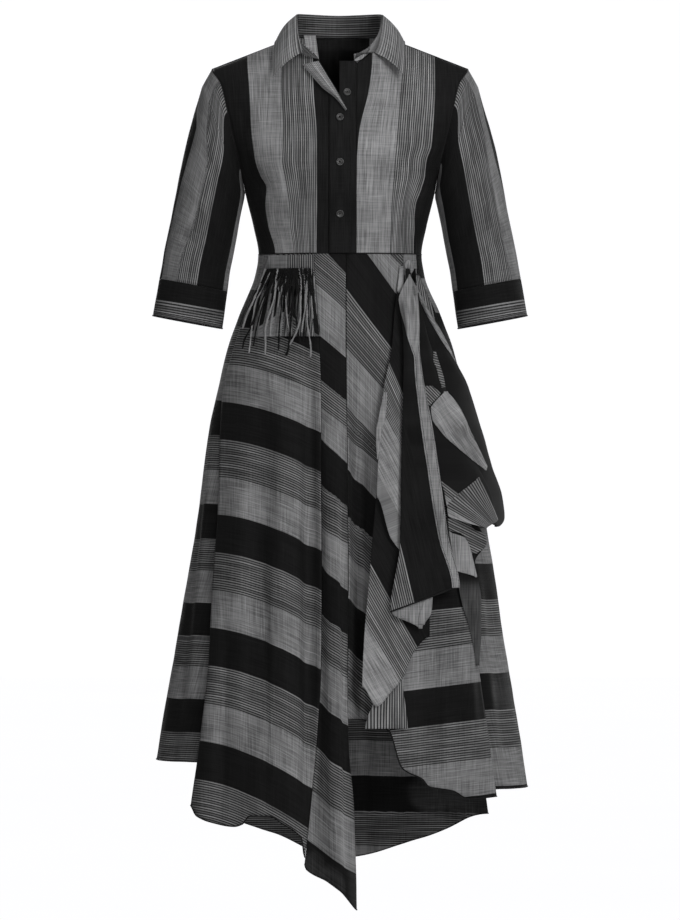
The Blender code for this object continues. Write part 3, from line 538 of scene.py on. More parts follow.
def torso(side, x, z, out=0.0):
    """Point of the bodice's front (side -1) or back (side 1) at x and z, moved out."""
    drop = -z
    half_width = TORSO.at(drop, "half_width")
    reach = TORSO.at(drop, "armhole_reach")
    depth = TORSO.at(drop, "front" if side < 0 else "back")
    above = smooth_rise(drop, ARMPIT_DROP, ARMPIT_DROP - 0.05)
    most = mix(1.0, 0.93, above)
    least = sqrt(1 - most * most)
    sine = min(abs(x) / half_width, 1.0) * most
    curve = (sqrt(max(1 - sine * sine, 0.0)) - least) / (1 - least)
    top = shoulder_height(x)
    climb = limit((z + ARMPIT_DROP) / (top + ARMPIT_DROP))
    rounding = sqrt(max(1 - climb ** SHOULDER_ROUNDING, 0.0))
    return Vector((x, side * ((reach + (depth - reach) * curve) * rounding + out), z))


def row_height(along, top, foot=-WAIST_DROP + SEAM_GAP):
    """Height of a bodice row: level up to the armpit, then fanned out to the top edge."""
    armpit = -ARMPIT_DROP
    low_rows = 0.35
    if along < low_rows:
        return mix(foot, armpit, along / low_rows)
    return mix(armpit, top, (along - low_rows) / (1 - low_rows))


def top_edge(x, neckline):
    """Height of the bodice's top edge at x: the neckline, then the shoulder seam."""
    if abs(x) < NECK_POINT_X:
        return neckline(abs(x))
    return shoulder_height(x) - SEAM_GAP


def opening_edge(x):
    """Height of the left front's sloping free edge at x."""
    return mix(OPENING_TOP[1], OPENING_FOOT[1],
               (x - OPENING_TOP[0]) / (OPENING_FOOT[0] - OPENING_TOP[0]))


def left_neckline(x):
    if x < -OPENING_TOP[0]:
        return opening_edge(-x)
    climb = (x + OPENING_TOP[0]) / (NECK_POINT_X + OPENING_TOP[0])
    return mix(OPENING_TOP[1], NECK_POINT_Z, climb ** 0.8)


def right_neckline(x):
    climb = (x - UNDER_PLACKET_RIGHT_X) / (NECK_POINT_X - UNDER_PLACKET_RIGHT_X)
    return mix(-0.033, NECK_POINT_Z, max(climb, 0.0) ** 1.15)


def back_neckline(x):
    return mix(-BACK_NECK_DROP, NECK_POINT_Z, (x / NECK_POINT_X) ** 2)


def armhole_x(z):
    return TORSO.at(-z, "half_width")


def bodice_front(hand, centre_x, neckline):
    """Panel from its centre edge to the side seam; hand is -1 or 1, and rows run upward."""
    def point(across, along):
        top_x = mix(centre_x, SHOULDER_TIP_X - SEAM_GAP, across)
        z = row_height(along, top_edge(top_x, neckline))
        x = mix(centre_x, armhole_x(z) - SEAM_GAP, across)
        if along > 0.999:
            x = top_x
        found = torso(-1, x, z)
        return Vector((hand * found.x, min(found.y, -SEAM_GAP), found.z))
    return point


def bodice_back(across, along):
    top_x = abs(across) * (SHOULDER_TIP_X - SEAM_GAP)
    z = row_height(along, top_edge(top_x, back_neckline))
    x = abs(across) * (armhole_x(z) - SEAM_GAP)
    if along > 0.999:
        x = top_x
    found = torso(1, x, z)
    neck = 0.0
    if top_x < NECK_POINT_X:
        round_neck = sqrt(1 - (top_x / NECK_POINT_X) ** 2)
        neck = BACK_NECK_DEPTH * round_neck * smooth_rise(along, 0.6, 1.0)
    return Vector((copysign(found.x, across), max(found.y, neck, SEAM_GAP), found.z))


def placket_top(across, along):
    x = mix(PLACKET_LEFT_X + SEAM_GAP, PLACKET_RIGHT_X, across)
    return torso(-1, x, mix(-WAIST_DROP + SEAM_GAP, opening_edge(x), along), LAYER)


def placket_under(across, along):
    x = mix(UNDER_PLACKET_LEFT_X, UNDER_PLACKET_RIGHT_X - SEAM_GAP, across)
    return torso(-1, x, mix(-WAIST_DROP + SEAM_GAP, -UNDER_PLACKET_TOP_DROP, along))


def lapel(across, along):
    x = LAPEL.between(along, across, "fold_x", "lip_x")
    z = -LAPEL.between(along, across, "fold_drop", "lip_drop")
    roll = LAPEL.at(along, "stand") * sin(pi * 0.88 * across)
    return torso(-1, x, z, LAYER + WALL + 2 * SEAM_GAP + roll)


def collar_line(table, line, angle):
    """Point of a named line of the collar, such as its base, at an angle."""
    return [table.at(angle, f"{line}_{axis}") for axis in ("x", "y", "drop")]


def collar_stand(across, along):
    angle = COLLAR.key_at(across)
    x, y, drop = (mix(low, high, along) for low, high in zip(
        collar_line(COLLAR, "base", angle), collar_line(COLLAR, "roll", angle)))
    return Vector((x, y, -drop))


def collar_leaf(across, along):
    """Collar leaf from the stand's roll line down to its own outer edge, swelling a little."""
    angle = LEAF.key_at(across)
    x, y, drop = (mix(low, high, along) for low, high in zip(
        collar_line(COLLAR, "roll", angle), collar_line(LEAF, "edge", angle)))
    turn = radians(angle)
    away = Vector((sin(turn), cos(turn), 0.6)).normalized()
    return Vector((x, y, -drop)) + away * (ROLL_GAP + LEAF_SWELL * arch(along))


def sleeve_ring(hand, turn, length):
    """Point of a sleeve: turn 0 is its outer line, 90 its front and 180 its underarm."""
    outward = (1 + cos(radians(turn))) / 2
    x = SLEEVE.between(length, outward, "under_x", "outer_x")
    drop = SLEEVE.between(length, outward, "under_drop", "outer_drop")
    return Vector((hand * x, -SLEEVE.at(length, "half_depth") * sin(radians(turn)),
                   -drop))


def sleeve(hand):
    """Sleeve from the armhole, which its first row follows, down to its cuff."""
    def point(turn, length):
        hanging = sleeve_ring(hand, turn, max(length, SLEEVE.keys[0]))
        if length >= SLEEVE.keys[0]:
            return hanging
        part = (1 - cos(radians(turn))) / 2
        z = -mix(SHOULDER_TIP_DROP, ARMPIT_DROP + ARMHOLE_FOOT_GAP, part)
        side = -1 if 0 <= turn <= 180 else 1
        seam = torso(side, armhole_x(z), z)
        seam.x = hand * (seam.x + ARMHOLE_GAP)
        return seam.lerp(hanging, length / SLEEVE.keys[0])
    return point


def smooth_front(x, drop):
    """Depth of the skirt's front at x, as a distance forward, without its folds."""
    part = min(abs(x) / SKIRT.at(drop, "half_width"), 1.0)
    return SKIRT.at(drop, "front") * sqrt(1 - part * part)


def fold_growth(drop):
    return smooth_rise(drop, FOLD_START_DROP, FOLD_FULL_DROP)


def front_fold(x, drop):
    """How far the front's folds stand forward at x, growing from the hip to the hem."""
    down = (drop - WAIST_DROP) / (FOLD_HEM_DROP - WAIST_DROP)
    stand = 0.0
    for _, x_waist, x_hem, half_width, forward in FRONT_FOLDS.rows:
        stand += forward * bell(x - mix(x_waist, x_hem, down), half_width)
    return stand * fold_growth(drop)


def skirt_drop(along, hem_drop):
    """Drop of a skirt row: the hip's rows lie level in every panel, the rest reach its hem."""
    if along < HIP_ROWS:
        return mix(WAIST_DROP + SEAM_GAP, HIP_DROP, along / HIP_ROWS)
    return mix(HIP_DROP, hem_drop, (along - HIP_ROWS) / (1 - HIP_ROWS))


def front_panel(left_seam, right_seam, hem, stand=0.0, ease=SEAM_GAP):
    """Front panel between two seams of SKIRT_SEAMS, from the waist to its own hem."""
    def point(across, along):
        hem_x = SKIRT_SEAMS.between(SEAM_HEM_DROP, across, left_seam, right_seam)
        drop = skirt_drop(along, hem.at(hem_x, "drop"))
        left = SKIRT_SEAMS.at(drop, left_seam) + ease
        right = SKIRT_SEAMS.at(drop, right_seam) - SEAM_GAP
        x = mix(left, right, across)
        forward = smooth_front(x, drop) + front_fold(x, drop) + stand * fold_growth(drop)
        return Vector((x, -forward, -drop))
    return point


def seam_angle(seam, drop):
    """Angle round the skirt, from the centre front, at which a front seam lies."""
    part = SKIRT_SEAMS.at(drop, seam) / SKIRT.at(drop, "half_width")
    return degrees(asin(limit(part, -1.0)))


def round_fold(angle, drop):
    wrapped = angle if angle < 0 else angle - 360
    stand = 0.0
    for fold_angle, half_width, outward in ROUND_FOLDS.rows:
        stand += outward * bell(wrapped - fold_angle, half_width)
    return stand * fold_growth(drop)


def skirt_ring(angle, drop, out=0.0):
    turn = radians(angle)
    forward = cos(turn)
    depth = SKIRT.at(drop, "front" if forward > 0 else "back")
    stand = out + round_fold(angle, drop)
    x = (SKIRT.at(drop, "half_width") + stand) * sin(turn)
    return Vector((x, -(depth + stand) * forward, -drop))


def overlap(drop):
    """How far a side panel is tucked in under its neighbours, and the angle that takes."""
    tuck = PANEL_OVERLAP * fold_growth(drop)
    return tuck, degrees(tuck / SKIRT.at(drop, "half_width"))


def side_panel(hand, seam, hem_drop):
    """Side panel from its front seam, just behind the front's edge, round to the back."""
    def point(across, along):
        drop = skirt_drop(along, hem_drop)
        tuck, lap = overlap(drop)
        start = seam_angle(seam, drop) + hand * (0.15 - lap * 0.5)
        angle = mix(start, hand * (BACK_SEAM_ANGLE - 0.1), across)
        inward = -tuck * (1 - smooth_rise(across, 0.0, 0.35))
        return skirt_ring(angle, drop, inward)
    return point


def skirt_back(across, along):
    angle = mix(-BACK_SEAM_ANGLE - 0.1, -360 + BACK_SEAM_ANGLE + 0.1, across)
    drop = skirt_drop(along, HEM_BACK.at(angle, "drop"))
    tuck, lap = overlap(drop)
    near = 1 - smooth_rise(min(across, 1 - across), 0.0, 0.08)
    angle += lap * near * (1 if across < 0.5 else -1)
    return skirt_ring(angle, drop, -0.5 * tuck * near)


def before_skirt(x, drop, stand):
    """Point at x that stands clear of the skirt's front, measured square to its cloth."""
    stand += max(front_fold(x, drop), 0.0)
    part = min(abs(x) / (SKIRT.at(drop, "half_width") + stand), 1.0)
    forward = (SKIRT.at(drop, "front") + stand) * sqrt(1 - part * part)
    return Vector((x, -forward, -drop))


def fall_at(table, x, drop, lift=0.0):
    """Point of a hanging layer of the drape at x and drop, raised by lift."""
    across = table.share(drop, x)
    edge_left, edge_right = table.at(drop, "stand_left"), table.at(drop, "stand_right")
    middle = table.at(drop, "stand_middle") - (edge_left + edge_right) / 2
    stand = mix(edge_left, edge_right, across) + middle * arch(across)
    return before_skirt(x, drop, stand + lift)


def fall(table, hem=None, hem_rise=0.0):
    """Hanging layer of the drape between the two edges of its table."""
    def point(across, along):
        last = hem.at(across, "drop") if hem else table.keys[-1]
        drop = mix(table.keys[0], last - hem_rise * across, along)
        return fall_at(table, table.between(drop, across), drop)
    return point


def side_fold(part, drop, lift=0.0):
    """Point of the hip drape's front fold, from its left edge at part 0 to its ridge at 1."""
    half_width = SKIRT.at(drop, "half_width")
    stand = SIDE_DRAPE.at(drop, "stand")
    stand_left = SIDE_DRAPE.at(drop, "stand_left")
    left = degrees(asin(SIDE_DRAPE.at(drop, "left") / (half_width + stand_left)))
    ridge = degrees(asin(SIDE_DRAPE.at(drop, "ridge") / (half_width + stand)))
    swell = RIDGE_SWELL * arch(limit(part))
    out = mix(stand_left, stand, part) + swell + lift
    return skirt_ring(mix(left, ridge, part), drop, out)


def side_at(x, drop, lift=0.0):
    """Point of the hip drape's front fold at x and drop, raised by lift."""
    low, high = -0.3, 1.3
    for _ in range(18):
        part = (low + high) / 2
        if side_fold(part, drop).x < x:
            low = part
        else:
            high = part
    return side_fold(part, drop, lift)


def side_drape(across, along):
    """Loop of cloth over the right hip: a front fold, its ridge, then round to the side."""
    drop = mix(SIDE_DRAPE.keys[0], SIDE_DRAPE_HEM.at(across, "drop"), along)
    if across <= RIDGE_ACROSS:
        return side_fold(across / RIDGE_ACROSS, drop)
    stand = SIDE_DRAPE.at(drop, "stand")
    ridge = SIDE_DRAPE.at(drop, "ridge") / (SKIRT.at(drop, "half_width") + stand)
    part = (across - RIDGE_ACROSS) / (1 - RIDGE_ACROSS)
    sunk = RIDGE_SINK * (1 - smooth_rise(part, 0.05, 0.6)) * smooth_rise(part, 0.0, 0.06)
    home = smooth_rise(part, 0.7, 1.0) * smooth_rise(drop, 0.45, 0.55)
    angle = mix(degrees(asin(ridge)), SIDE_DRAPE.at(drop, "end_angle"), part)
    return skirt_ring(angle, drop, mix(stand - sunk, SEATED_STAND, home))


def layer(table, surface, lift):
    """Layer that lies on a surface between the left and right edges of its table."""
    def point(across, along):
        drop = table.key_at(along)
        return surface(table.between(drop, across), drop, lift)
    return point


def pocket_band(across, along):
    drop = POCKET_BAND.key_at(along)
    return before_skirt(POCKET_BAND.between(drop, across), drop, BAND_STAND)


def pouch_gather(across, along):
    """How far the pouch's gathers stand out: sharp ridges that die away below the band."""
    count = POUCH_GATHERS * (across + 0.018 * sin(across * 23))
    ridge = 1 - abs(sin(pi * count)) ** 0.7
    return GATHER_DEPTH * (ridge - 0.25) * (1 - smooth_rise(along, 0.25, 1.0) * 0.86)


def pouch(across, along):
    drop = POUCH.key_at(along)
    edge = arch(across) ** POUCH_FULLNESS
    stand = LAYER + POUCH.at(drop, "stand") * edge + edge * pouch_gather(across, along)
    return before_skirt(POUCH.between(drop, across), drop, stand)


def before_pouch(x, drop, lift):
    """Point in front of the pouch, or of the skirt below it."""
    on_pouch = limit(drop, POUCH.keys[0], POUCH.keys[-1])
    edge = arch(mix(0.08, 0.92, POUCH.share(on_pouch, x))) ** POUCH_FULLNESS
    stand = POUCH.at(on_pouch, "stand") * edge + GATHER_DEPTH * 0.5 * edge
    below = smooth_rise(drop, POUCH.keys[-1] - 0.006, POUCH.keys[-1] + 0.012)
    return before_skirt(x, drop, LAYER + mix(stand, 0.0035, below) + lift)


# ---- finishes ----


def arithmetic(operation, swapped=False):
    """Python operator that adds a Math node of an operation, its two terms swapped or not."""
    def apply(value, other):
        return value.math(operation, *((other, value) if swapped else (value, other)))
    return apply


class Value:
    """A number that varies over a finish, held as a socket; arithmetic on it adds Math nodes."""

    def __init__(self, recipe, socket):
        self.recipe = recipe
        self.socket = socket

    def math(self, operation, *terms, clamp=False):
        settings = {"operation": operation, "use_clamp": clamp}
        return self.recipe.node("ShaderNodeMath", settings, dict(enumerate(terms)))

    __add__ = arithmetic("ADD")
    __radd__ = arithmetic("ADD", swapped=True)
    __sub__ = arithmetic("SUBTRACT")
    __rsub__ = arithmetic("SUBTRACT", swapped=True)
    __mul__ = arithmetic("MULTIPLY")
    __rmul__ = arithmetic("MULTIPLY", swapped=True)
    __truediv__ = arithmetic("DIVIDE")
    __mod__ = arithmetic("FLOORED_MODULO")

    def __abs__(self):
        return self.math("ABSOLUTE", self)

    def sine(self):
        return self.math("SINE", self)

    def above(self, edge, softness):
        """0 below an edge and 1 above it, turning over a short stretch."""
        return self.math("ADD", (self - edge) / softness, 0.5, clamp=True)


class Recipe:
    """The nodes of one finish."""

    def __init__(self, name, **constants):
        self.material = bpy.data.materials.new(name)
        self.material.use_nodes = True
        self.tree = self.material.node_tree
        self.shader = self.tree.nodes["Principled BSDF"]
        for socket, value in constants.items():
            self.shader.inputs[socket.replace("_", " ")].default_value = value

    def node(self, kind, settings=None, inputs=None, output=0):
        made = self.tree.nodes.new(kind)
        for name, value in (settings or {}).items():
            setattr(made, name, value)
        for name, value in (inputs or {}).items():
            self.feed(made.inputs[name], value)
        return Value(self, made.outputs[output])

    def feed(self, socket, value):
        if isinstance(value, Value):
            self.tree.links.new(value.socket, socket)
        else:
            socket.default_value = value

    def set(self, socket, value):
        self.feed(self.shader.inputs[socket], value)

    def noise(self, vector, detail=2.0):
        inputs = {"Vector": vector, "Scale": 1.0, "Detail": detail, "Roughness": 0.5}
        return self.node("ShaderNodeTexNoise", {}, inputs, "Fac")

    def spot(self):
        """Where a point of the piece lies, in metres."""
        return self.node("ShaderNodeTexCoord", {}, {}, "Object")

    def map(self, name):
        """The two measures that a map of the cloth carries."""
        spot = self.node("ShaderNodeUVMap", {"uv_map": name}, {}, "UV")
        first = self.node("ShaderNodeSeparateXYZ", {}, {"Vector": spot}, "X")
        return first, Value(self, first.socket.node.outputs["Y"])

    def point(self, x, y, z=0.0):
        return self.node("ShaderNodeCombineXYZ", {}, {"X": x, "Y": y, "Z": z})

    def blend(self, low, high, part):
        """Colour between two colours."""
        settings = {"data_type": "RGBA", "clamp_factor": True}
        inputs = {"Factor": part, 6: low, 7: high}
        return self.node("ShaderNodeMix", settings, inputs, 2)

    def bump(self, height, strength, distance):
        inputs = {"Strength": strength, "Distance": distance, "Height": height}
        self.set("Normal", self.node("ShaderNodeBump", {}, inputs))


def shade(lightness, warmth=0.0):
    return (lightness * (1 + warmth), lightness, lightness * (1.015 - warmth), 1.0)


def striped_cotton(name, grey, line, ground, black, checked=False, cross=1.0):
    """Handloom cotton in bands of fine lines, slubbed grey and black, laid by the Fabric map.

    grey, line, ground and black are how light each yarn looks on the piece the cloth is for,
    painted light and shade included; checked adds lines the other way, and cross is how much the
    yarns that run across the stripes show.
    """
    recipe = Recipe(name, Sheen_Weight=0.012, Sheen_Roughness=0.4, Specular_IOR_Level=0.1)
    along, across = recipe.map("Fabric")

    def yarn(each_metre_along, each_metre_across, sample, detail=2.0):
        """Noise drawn out into yarns; every sample is another part of the noise."""
        return recipe.noise(recipe.point(along * each_metre_along, across * each_metre_across,
                                         sample), detail)

    def thread(measure):
        """1 on the lines of a lined band and 0 between them."""
        return 1 - abs(measure - LINE_CENTRE).above(0.24, 0.14)

    def cloth_tone(lightness, dark, light, part):
        return recipe.blend(shade(lightness * dark), shade(lightness * light), part)

    long_slub = yarn(21, 560, 0.0)
    cross_slub = yarn(560, 21, 3.0)
    long_bar = yarn(9, 85, 5.0)
    cross_bar = yarn(85, 9, 7.0)
    cloud = yarn(14, 14, 9.0, 3.0)
    thick_yarn = yarn(17, 420, 11.0, 1.0).above(0.68, 0.07)
    thick_weft = yarn(420, 17, 13.0, 1.0).above(0.7, 0.07)
    drift = yarn(6, 60, 15.0)

    lay = across + (drift - 0.5) * BAND_DRIFT
    band = lay % REPEAT
    black_part = band.above(GREY_BAND, BAND_SOFTNESS)
    grey_part = band.above(LINED_BAND, BAND_SOFTNESS) - black_part
    pick = lay / LINE_PITCH
    line_part = thread(pick % 1.0)
    pick_number = pick.math("FLOOR", pick)
    strength = recipe.noise(recipe.point(pick_number * 3.71, along * 8, 17.0))
    if checked:
        line_part = line_part * 0.65 + thread((along / LINE_PITCH) % 1.0) * 0.35

    grain = (long_slub * (0.7 - 0.3 * cross) + cross_slub * (0.32 * cross)
             + long_bar * (0.22 - 0.09 * cross) + cross_bar * (0.07 * cross))
    tone = (grain - 0.46) * 4.2 + (cloud - 0.5) * 1.1 + 0.46
    tone = tone + thick_yarn * 0.6 + thick_weft * (0.45 * cross)
    thin, _ = recipe.map("Wear")
    grey_cloth = cloth_tone(grey, 0.52, 1.5, tone)
    line_tone = (strength - 0.5) * 2.0 + 0.42 + (grain - 0.5) * 1.6 + thick_yarn * 0.3
    line_cloth = cloth_tone(line, 0.45, 1.65, line_tone)
    ground_cloth = cloth_tone(ground, 0.45, 1.6, tone)
    black_cloth = cloth_tone(black, 0.6, 1.5, tone)
    # Painted light: where the second map says the cloth is thin, its black is painted lighter, as
    # light from behind that shines through the cloth.
    backlit_black = recipe.blend(shade(0.02), shade(0.06), tone)
    black_cloth = recipe.blend(black_cloth, backlit_black, thin)
    lined = recipe.blend(ground_cloth, line_cloth, line_part)
    colour = recipe.blend(lined, grey_cloth, grey_part)
    recipe.set("Base Color", recipe.blend(colour, black_cloth, black_part))
    recipe.set("Roughness", 0.95 - 0.2 * long_slub)
    weave = ((along * (tau / THREAD_PITCH)).sine()
             * (across * (tau / THREAD_PITCH)).sine())
    recipe.bump(weave * 0.25 + grain * 1.4 + line_part * 0.15 + thick_yarn * 0.3, 0.3, 0.0005)
    return recipe.material


def sewing_thread(name, lightness, gloss=0.25):
    """Twisted sewing thread."""
    recipe = Recipe(name, Specular_IOR_Level=gloss, Sheen_Weight=gloss * 0.3)
    twist = recipe.node("ShaderNodeTexWave", {"bands_direction": "DIAGONAL"},
                        {"Vector": recipe.spot(), "Scale": 900.0, "Distortion": 2.0}, "Fac")
    colour = recipe.blend(shade(lightness * 0.6), shade(lightness * 1.3), twist)
    recipe.set("Base Color", colour)
    recipe.set("Roughness", 0.6 + 0.25 * twist)
    recipe.bump(twist, 0.4, 0.0002)
    return recipe.material


def satin_button(name):
    """Dark polished shell-like button, with a painted highlight that makes its rim a little
    lighter.
    """
    recipe = Recipe(name, Specular_IOR_Level=0.5, Coat_Roughness=0.2)
    where = recipe.spot()
    cloud = recipe.noise(recipe.node("ShaderNodeVectorMath", {"operation": "SCALE"},
                                     {0: where, "Scale": 260.0}), 4.0)
    # Painted highlight: the colour turns lighter where the button's rim is sharply curved.
    painted_light = recipe.node("ShaderNodeNewGeometry", {}, {}, "Pointiness").above(0.52, 0.06)
    colour = recipe.blend(shade(0.005), shade(0.012, 0.05), cloud)
    recipe.set("Base Color", recipe.blend(colour, shade(0.05), painted_light * 0.5))
    recipe.set("Roughness", 0.34 + 0.25 * cloud)
    recipe.set("Coat Weight", 0.03 + 0.1 * cloud)
    recipe.bump(cloud, 0.12, 0.0003)
    return recipe.material


def make_finishes():
    # Each piece has its own copy of the one striped cotton, set lighter or darker to how light
    # that piece looks, so the copies carry painted light and shade: the sleeve, collar stand and
    # skirt copies are painted darker than the bodice's.
    return {
        "bodice": striped_cotton("bodice cotton", 0.16, 0.195, 0.024, 0.0055, cross=0.7),
        "sleeve": striped_cotton("sleeve cotton in painted shade", 0.122, 0.155, 0.02, 0.0036),
        "stand": striped_cotton("collar stand cotton in painted shade", 0.08, 0.11, 0.012, 0.0045),
        "skirt": striped_cotton("skirt cotton in painted shade", 0.126, 0.13, 0.015, 0.0038),
        "collar": striped_cotton("collar cotton", 0.165, 0.215, 0.07, 0.0058),
        "facing": striped_cotton("facing cotton", 0.2, 0.25, 0.08, 0.0058, checked=True),
        "drape": striped_cotton("drape cotton", 0.158, 0.165, 0.018, 0.004, cross=0.5),
        "hem": sewing_thread("black rolled hem", 0.006, 0.08),
        "grey_hem": sewing_thread("grey rolled hem", 0.12),
        "black_thread": sewing_thread("black sewing thread", 0.0042, 0.06),
        "grey_thread": sewing_thread("grey sewing thread", 0.17),
        "button": satin_button("black button"),
    }


# ---- making cloth ----


class Sheet:
    """A piece of cloth as made: its object, with the rows of points on its outer side."""

    def __init__(self, obj, rows, normals, tube):
        self.obj = obj
        self.rows = rows
        self.normals = normals
        self.tube = tube

    def down(self, across, lift=0.0):
        """Points down the cloth at a share of its width."""
        low, part = split(across, len(self.rows[0]))
        return [row[low].lerp(row[low + 1], part) + normal[low] * lift
                for row, normal in zip(self.rows, self.normals)]

    def over(self, along, lift=0.0):
        """Points across the cloth at a share of its length."""
        low, part = split(along, len(self.rows))
        points = [first.lerp(second, part) + normal * lift for first, second, normal
                  in zip(self.rows[low], self.rows[low + 1], self.normals[low])]
        return points + points[:1] if self.tube else points


def crumple(spot):
    """Small uneven bulges of limp cotton at a point, in metres."""
    wide = noise.noise(Vector((spot.x * 17, spot.y * 17, spot.z * 9)))
    fine = noise.noise(Vector((spot.x * 55, spot.y * 55 + 7, spot.z * 33)))
    return 0.0013 * wide + 0.00045 * fine


def finish_piece(obj, kind, finish):
    obj.data.materials.append(FINISHES[finish])
    obj.data.shade_smooth()
    return obj


def new_object(name, mesh):
    data = bpy.data.meshes.new(name)
    mesh.to_mesh(data)
    mesh.free()
    obj = bpy.data.objects.new(name, data)
    bpy.context.scene.collection.objects.link(obj)
    return obj


def sew_on(name, mesh, sheet, finish):
    """Hem, cord or row of stitches, black or grey, that goes where its cloth goes."""
    kind = "grey" if finish.startswith("grey") else "black"
    obj = finish_piece(new_object(name, mesh), kind, finish)
    obj.parent = sheet.obj
    return obj


def join_rings(mesh, rings, ends=True):
    """Tube of faces through rings of points, closed at its ends."""
    for ring, after in zip(rings, rings[1:]):
        for corner in range(len(ring)):
            following = (corner + 1) % len(ring)
            mesh.faces.new((ring[corner], ring[following], after[following], after[corner]))
    if ends:
        mesh.faces.new(rings[0][::-1])
        mesh.faces.new(rings[-1])


def uncrumpled(across, along):
    return 0.0


def cloth(name, kind, finish, point, columns, rows, weave, inside, tube=False, creases=None,
          wall=SHEET_WALL, parent=None, sheer=None, calm=None):
    """Grid of cloth through point(across, along), which carries a weave.

    weave(across, along, point) gives how far the cloth lies along and across its stripes, and
    sheer(point) how thin it is, from 0 to 1: thin cloth's black is painted lighter, as light
    shining through it. It stands for the solid of its name, or lies on a parent.
    """
    mesh = bmesh.new()
    fabric = mesh.loops.layers.uv.new("Fabric")
    # The second map carries painted light that shines through thin cloth.
    painted_light = mesh.loops.layers.uv.new("Wear")
    grid = []
    maps = []
    thin = []
    for along in rows:
        grid.append([mesh.verts.new(point(across, along)) for across in columns])
        maps.append([weave(across, along, vert.co) for across, vert in zip(columns, grid[-1])])
        thin.append([(sheer(vert.co) if sheer else 0.0, 0.0) for vert in grid[-1]])
        if tube:
            maps[-1].append(weave(columns[0] + 360.0, along, grid[-1][0].co))
            thin[-1].append(thin[-1][0])
    last = len(columns) if tube else len(columns) - 1
    for high in range(len(rows) - 1):
        for place in range(last):
            after = (place + 1) % len(columns)
            face = mesh.faces.new((grid[high][place], grid[high + 1][place],
                                   grid[high + 1][after], grid[high][after]))
            spots = ((high, place), (high + 1, place), (high + 1, place + 1), (high, place + 1))
            places = [maps[row][column][1] for row, column in spots]
            seam = max(places) - min(places) > LEAP
            for loop, (row, column) in zip(face.loops, spots):
                along_cloth, across_cloth = maps[row][column]
                loop[fabric].uv = (along_cloth, places[0] if seam else across_cloth)
                loop[painted_light].uv = thin[row][column]
    mesh.normal_update()
    facing = sum(face.normal.dot(face.calc_center_median() - inside) * face.calc_area()
                 for face in mesh.faces)
    if facing < 0:
        bmesh.ops.reverse_faces(mesh, faces=mesh.faces)
        mesh.normal_update()
    normals = [[vert.normal.copy() for vert in line] for line in grid]
    for line, ways, along in zip(grid, normals, rows):
        for vert, way, across in zip(line, ways, columns):
            push = crumple(vert.co) * (calm(across, along) if calm else 1.0)
            if creases:
                push += creases(across, along, vert.co)
            vert.co += way * push
    points = [[vert.co.copy() for vert in line] for line in grid]
    obj = new_object(name if parent else f"cloth_{name}", mesh)
    thickness = obj.modifiers.new("Cloth", "SOLIDIFY")
    thickness.thickness = wall
    thickness.offset = -1.0
    finish_piece(obj, kind, finish)
    if parent:
        obj.parent = parent.obj
    else:
        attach(obj, "root")
        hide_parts(name)
    for held, cuts in CUTS.items():
        name in cuts
    return Sheet(obj, points, normals, tube)


def seam_tape(name, sheet, lines, reach):
    """Narrow black strip sewn inside a seam, over the span that all its lines share."""
    ordered = [sorted(line, key=reach) for line in lines]
    low = max(reach(line[0]) for line in ordered)
    high = min(reach(line[-1]) for line in ordered)

    def point(across, along):
        place = mix(low, high, across)
        line = ordered[along]
        after = next((index for index, spot in enumerate(line) if reach(spot) >= place),
                     len(line) - 1)
        before = line[max(after - 1, 0)]
        span = reach(line[after]) - reach(before)
        return before.lerp(line[after], (place - reach(before)) / span if span else 0.0)

    return cloth(name, "black", "skirt", point, steps(80), range(len(lines)),
                 lay_straight(1.0, BLACK_PLACE, 0.0), Vector((0, 0, -0.4)),
                 wall=TAPE_WALL, parent=sheet, calm=uncrumpled)


def seam_down(name, first, second, top_drop, sides):
    """Tape inside the seam between two neighbouring panels, below top_drop.

    sides says which edge of each panel lies at the seam: 0 is its first one and 1 its last.
    """
    lines = []
    for sheet, side in ((first, sides[0]), (second, sides[1])):
        inward = 0.04 if side < 0.5 else -0.04
        pair = [[spot for spot in sheet.down(side + step, -lift) if -spot.z > top_drop]
                for step, lift in ((inward, 0.0016), (0.0, 0.0012))]
        lines += pair if sheet is first else pair[::-1]
    seam_tape(name, first, lines, lambda spot: -spot.z)


def thin_patches(rows):
    """Painted light through thin cloth: a row is x, drop, half width, half height, strength."""
    def sheer(spot):
        depth = 0.0
        for x, drop, half_width, half_height, strength in rows:
            near = ((spot.x - x) / half_width) ** 2 + ((spot.z + drop) / half_height) ** 2
            depth = max(depth, strength * (1 - smooth_rise(near, 0.5, 1.3)))
        return depth * (0.8 + 0.5 * noise.noise(spot * 24))
    return sheer


def piping(name, sheet, path, finish="hem", radius=HEM_RADIUS):
    """Rolled hem along an edge of a piece of cloth."""
    mesh = bmesh.new()
    rings = []
    for place, centre in enumerate(path):
        before = path[max(place - 1, 0)]
        after = path[min(place + 1, len(path) - 1)]
        way = (after - before).normalized()
        side = way.orthogonal().normalized() if place == 0 else (side - way * side.dot(way))
        side.normalize()
        up = way.cross(side)
        rings.append([
            mesh.verts.new(centre + (side * cos(turn) + up * sin(turn)) * radius)
            for turn in corners(PIPING_SIDES)])
    join_rings(mesh, rings)
    return sew_on(name, mesh, sheet, finish)


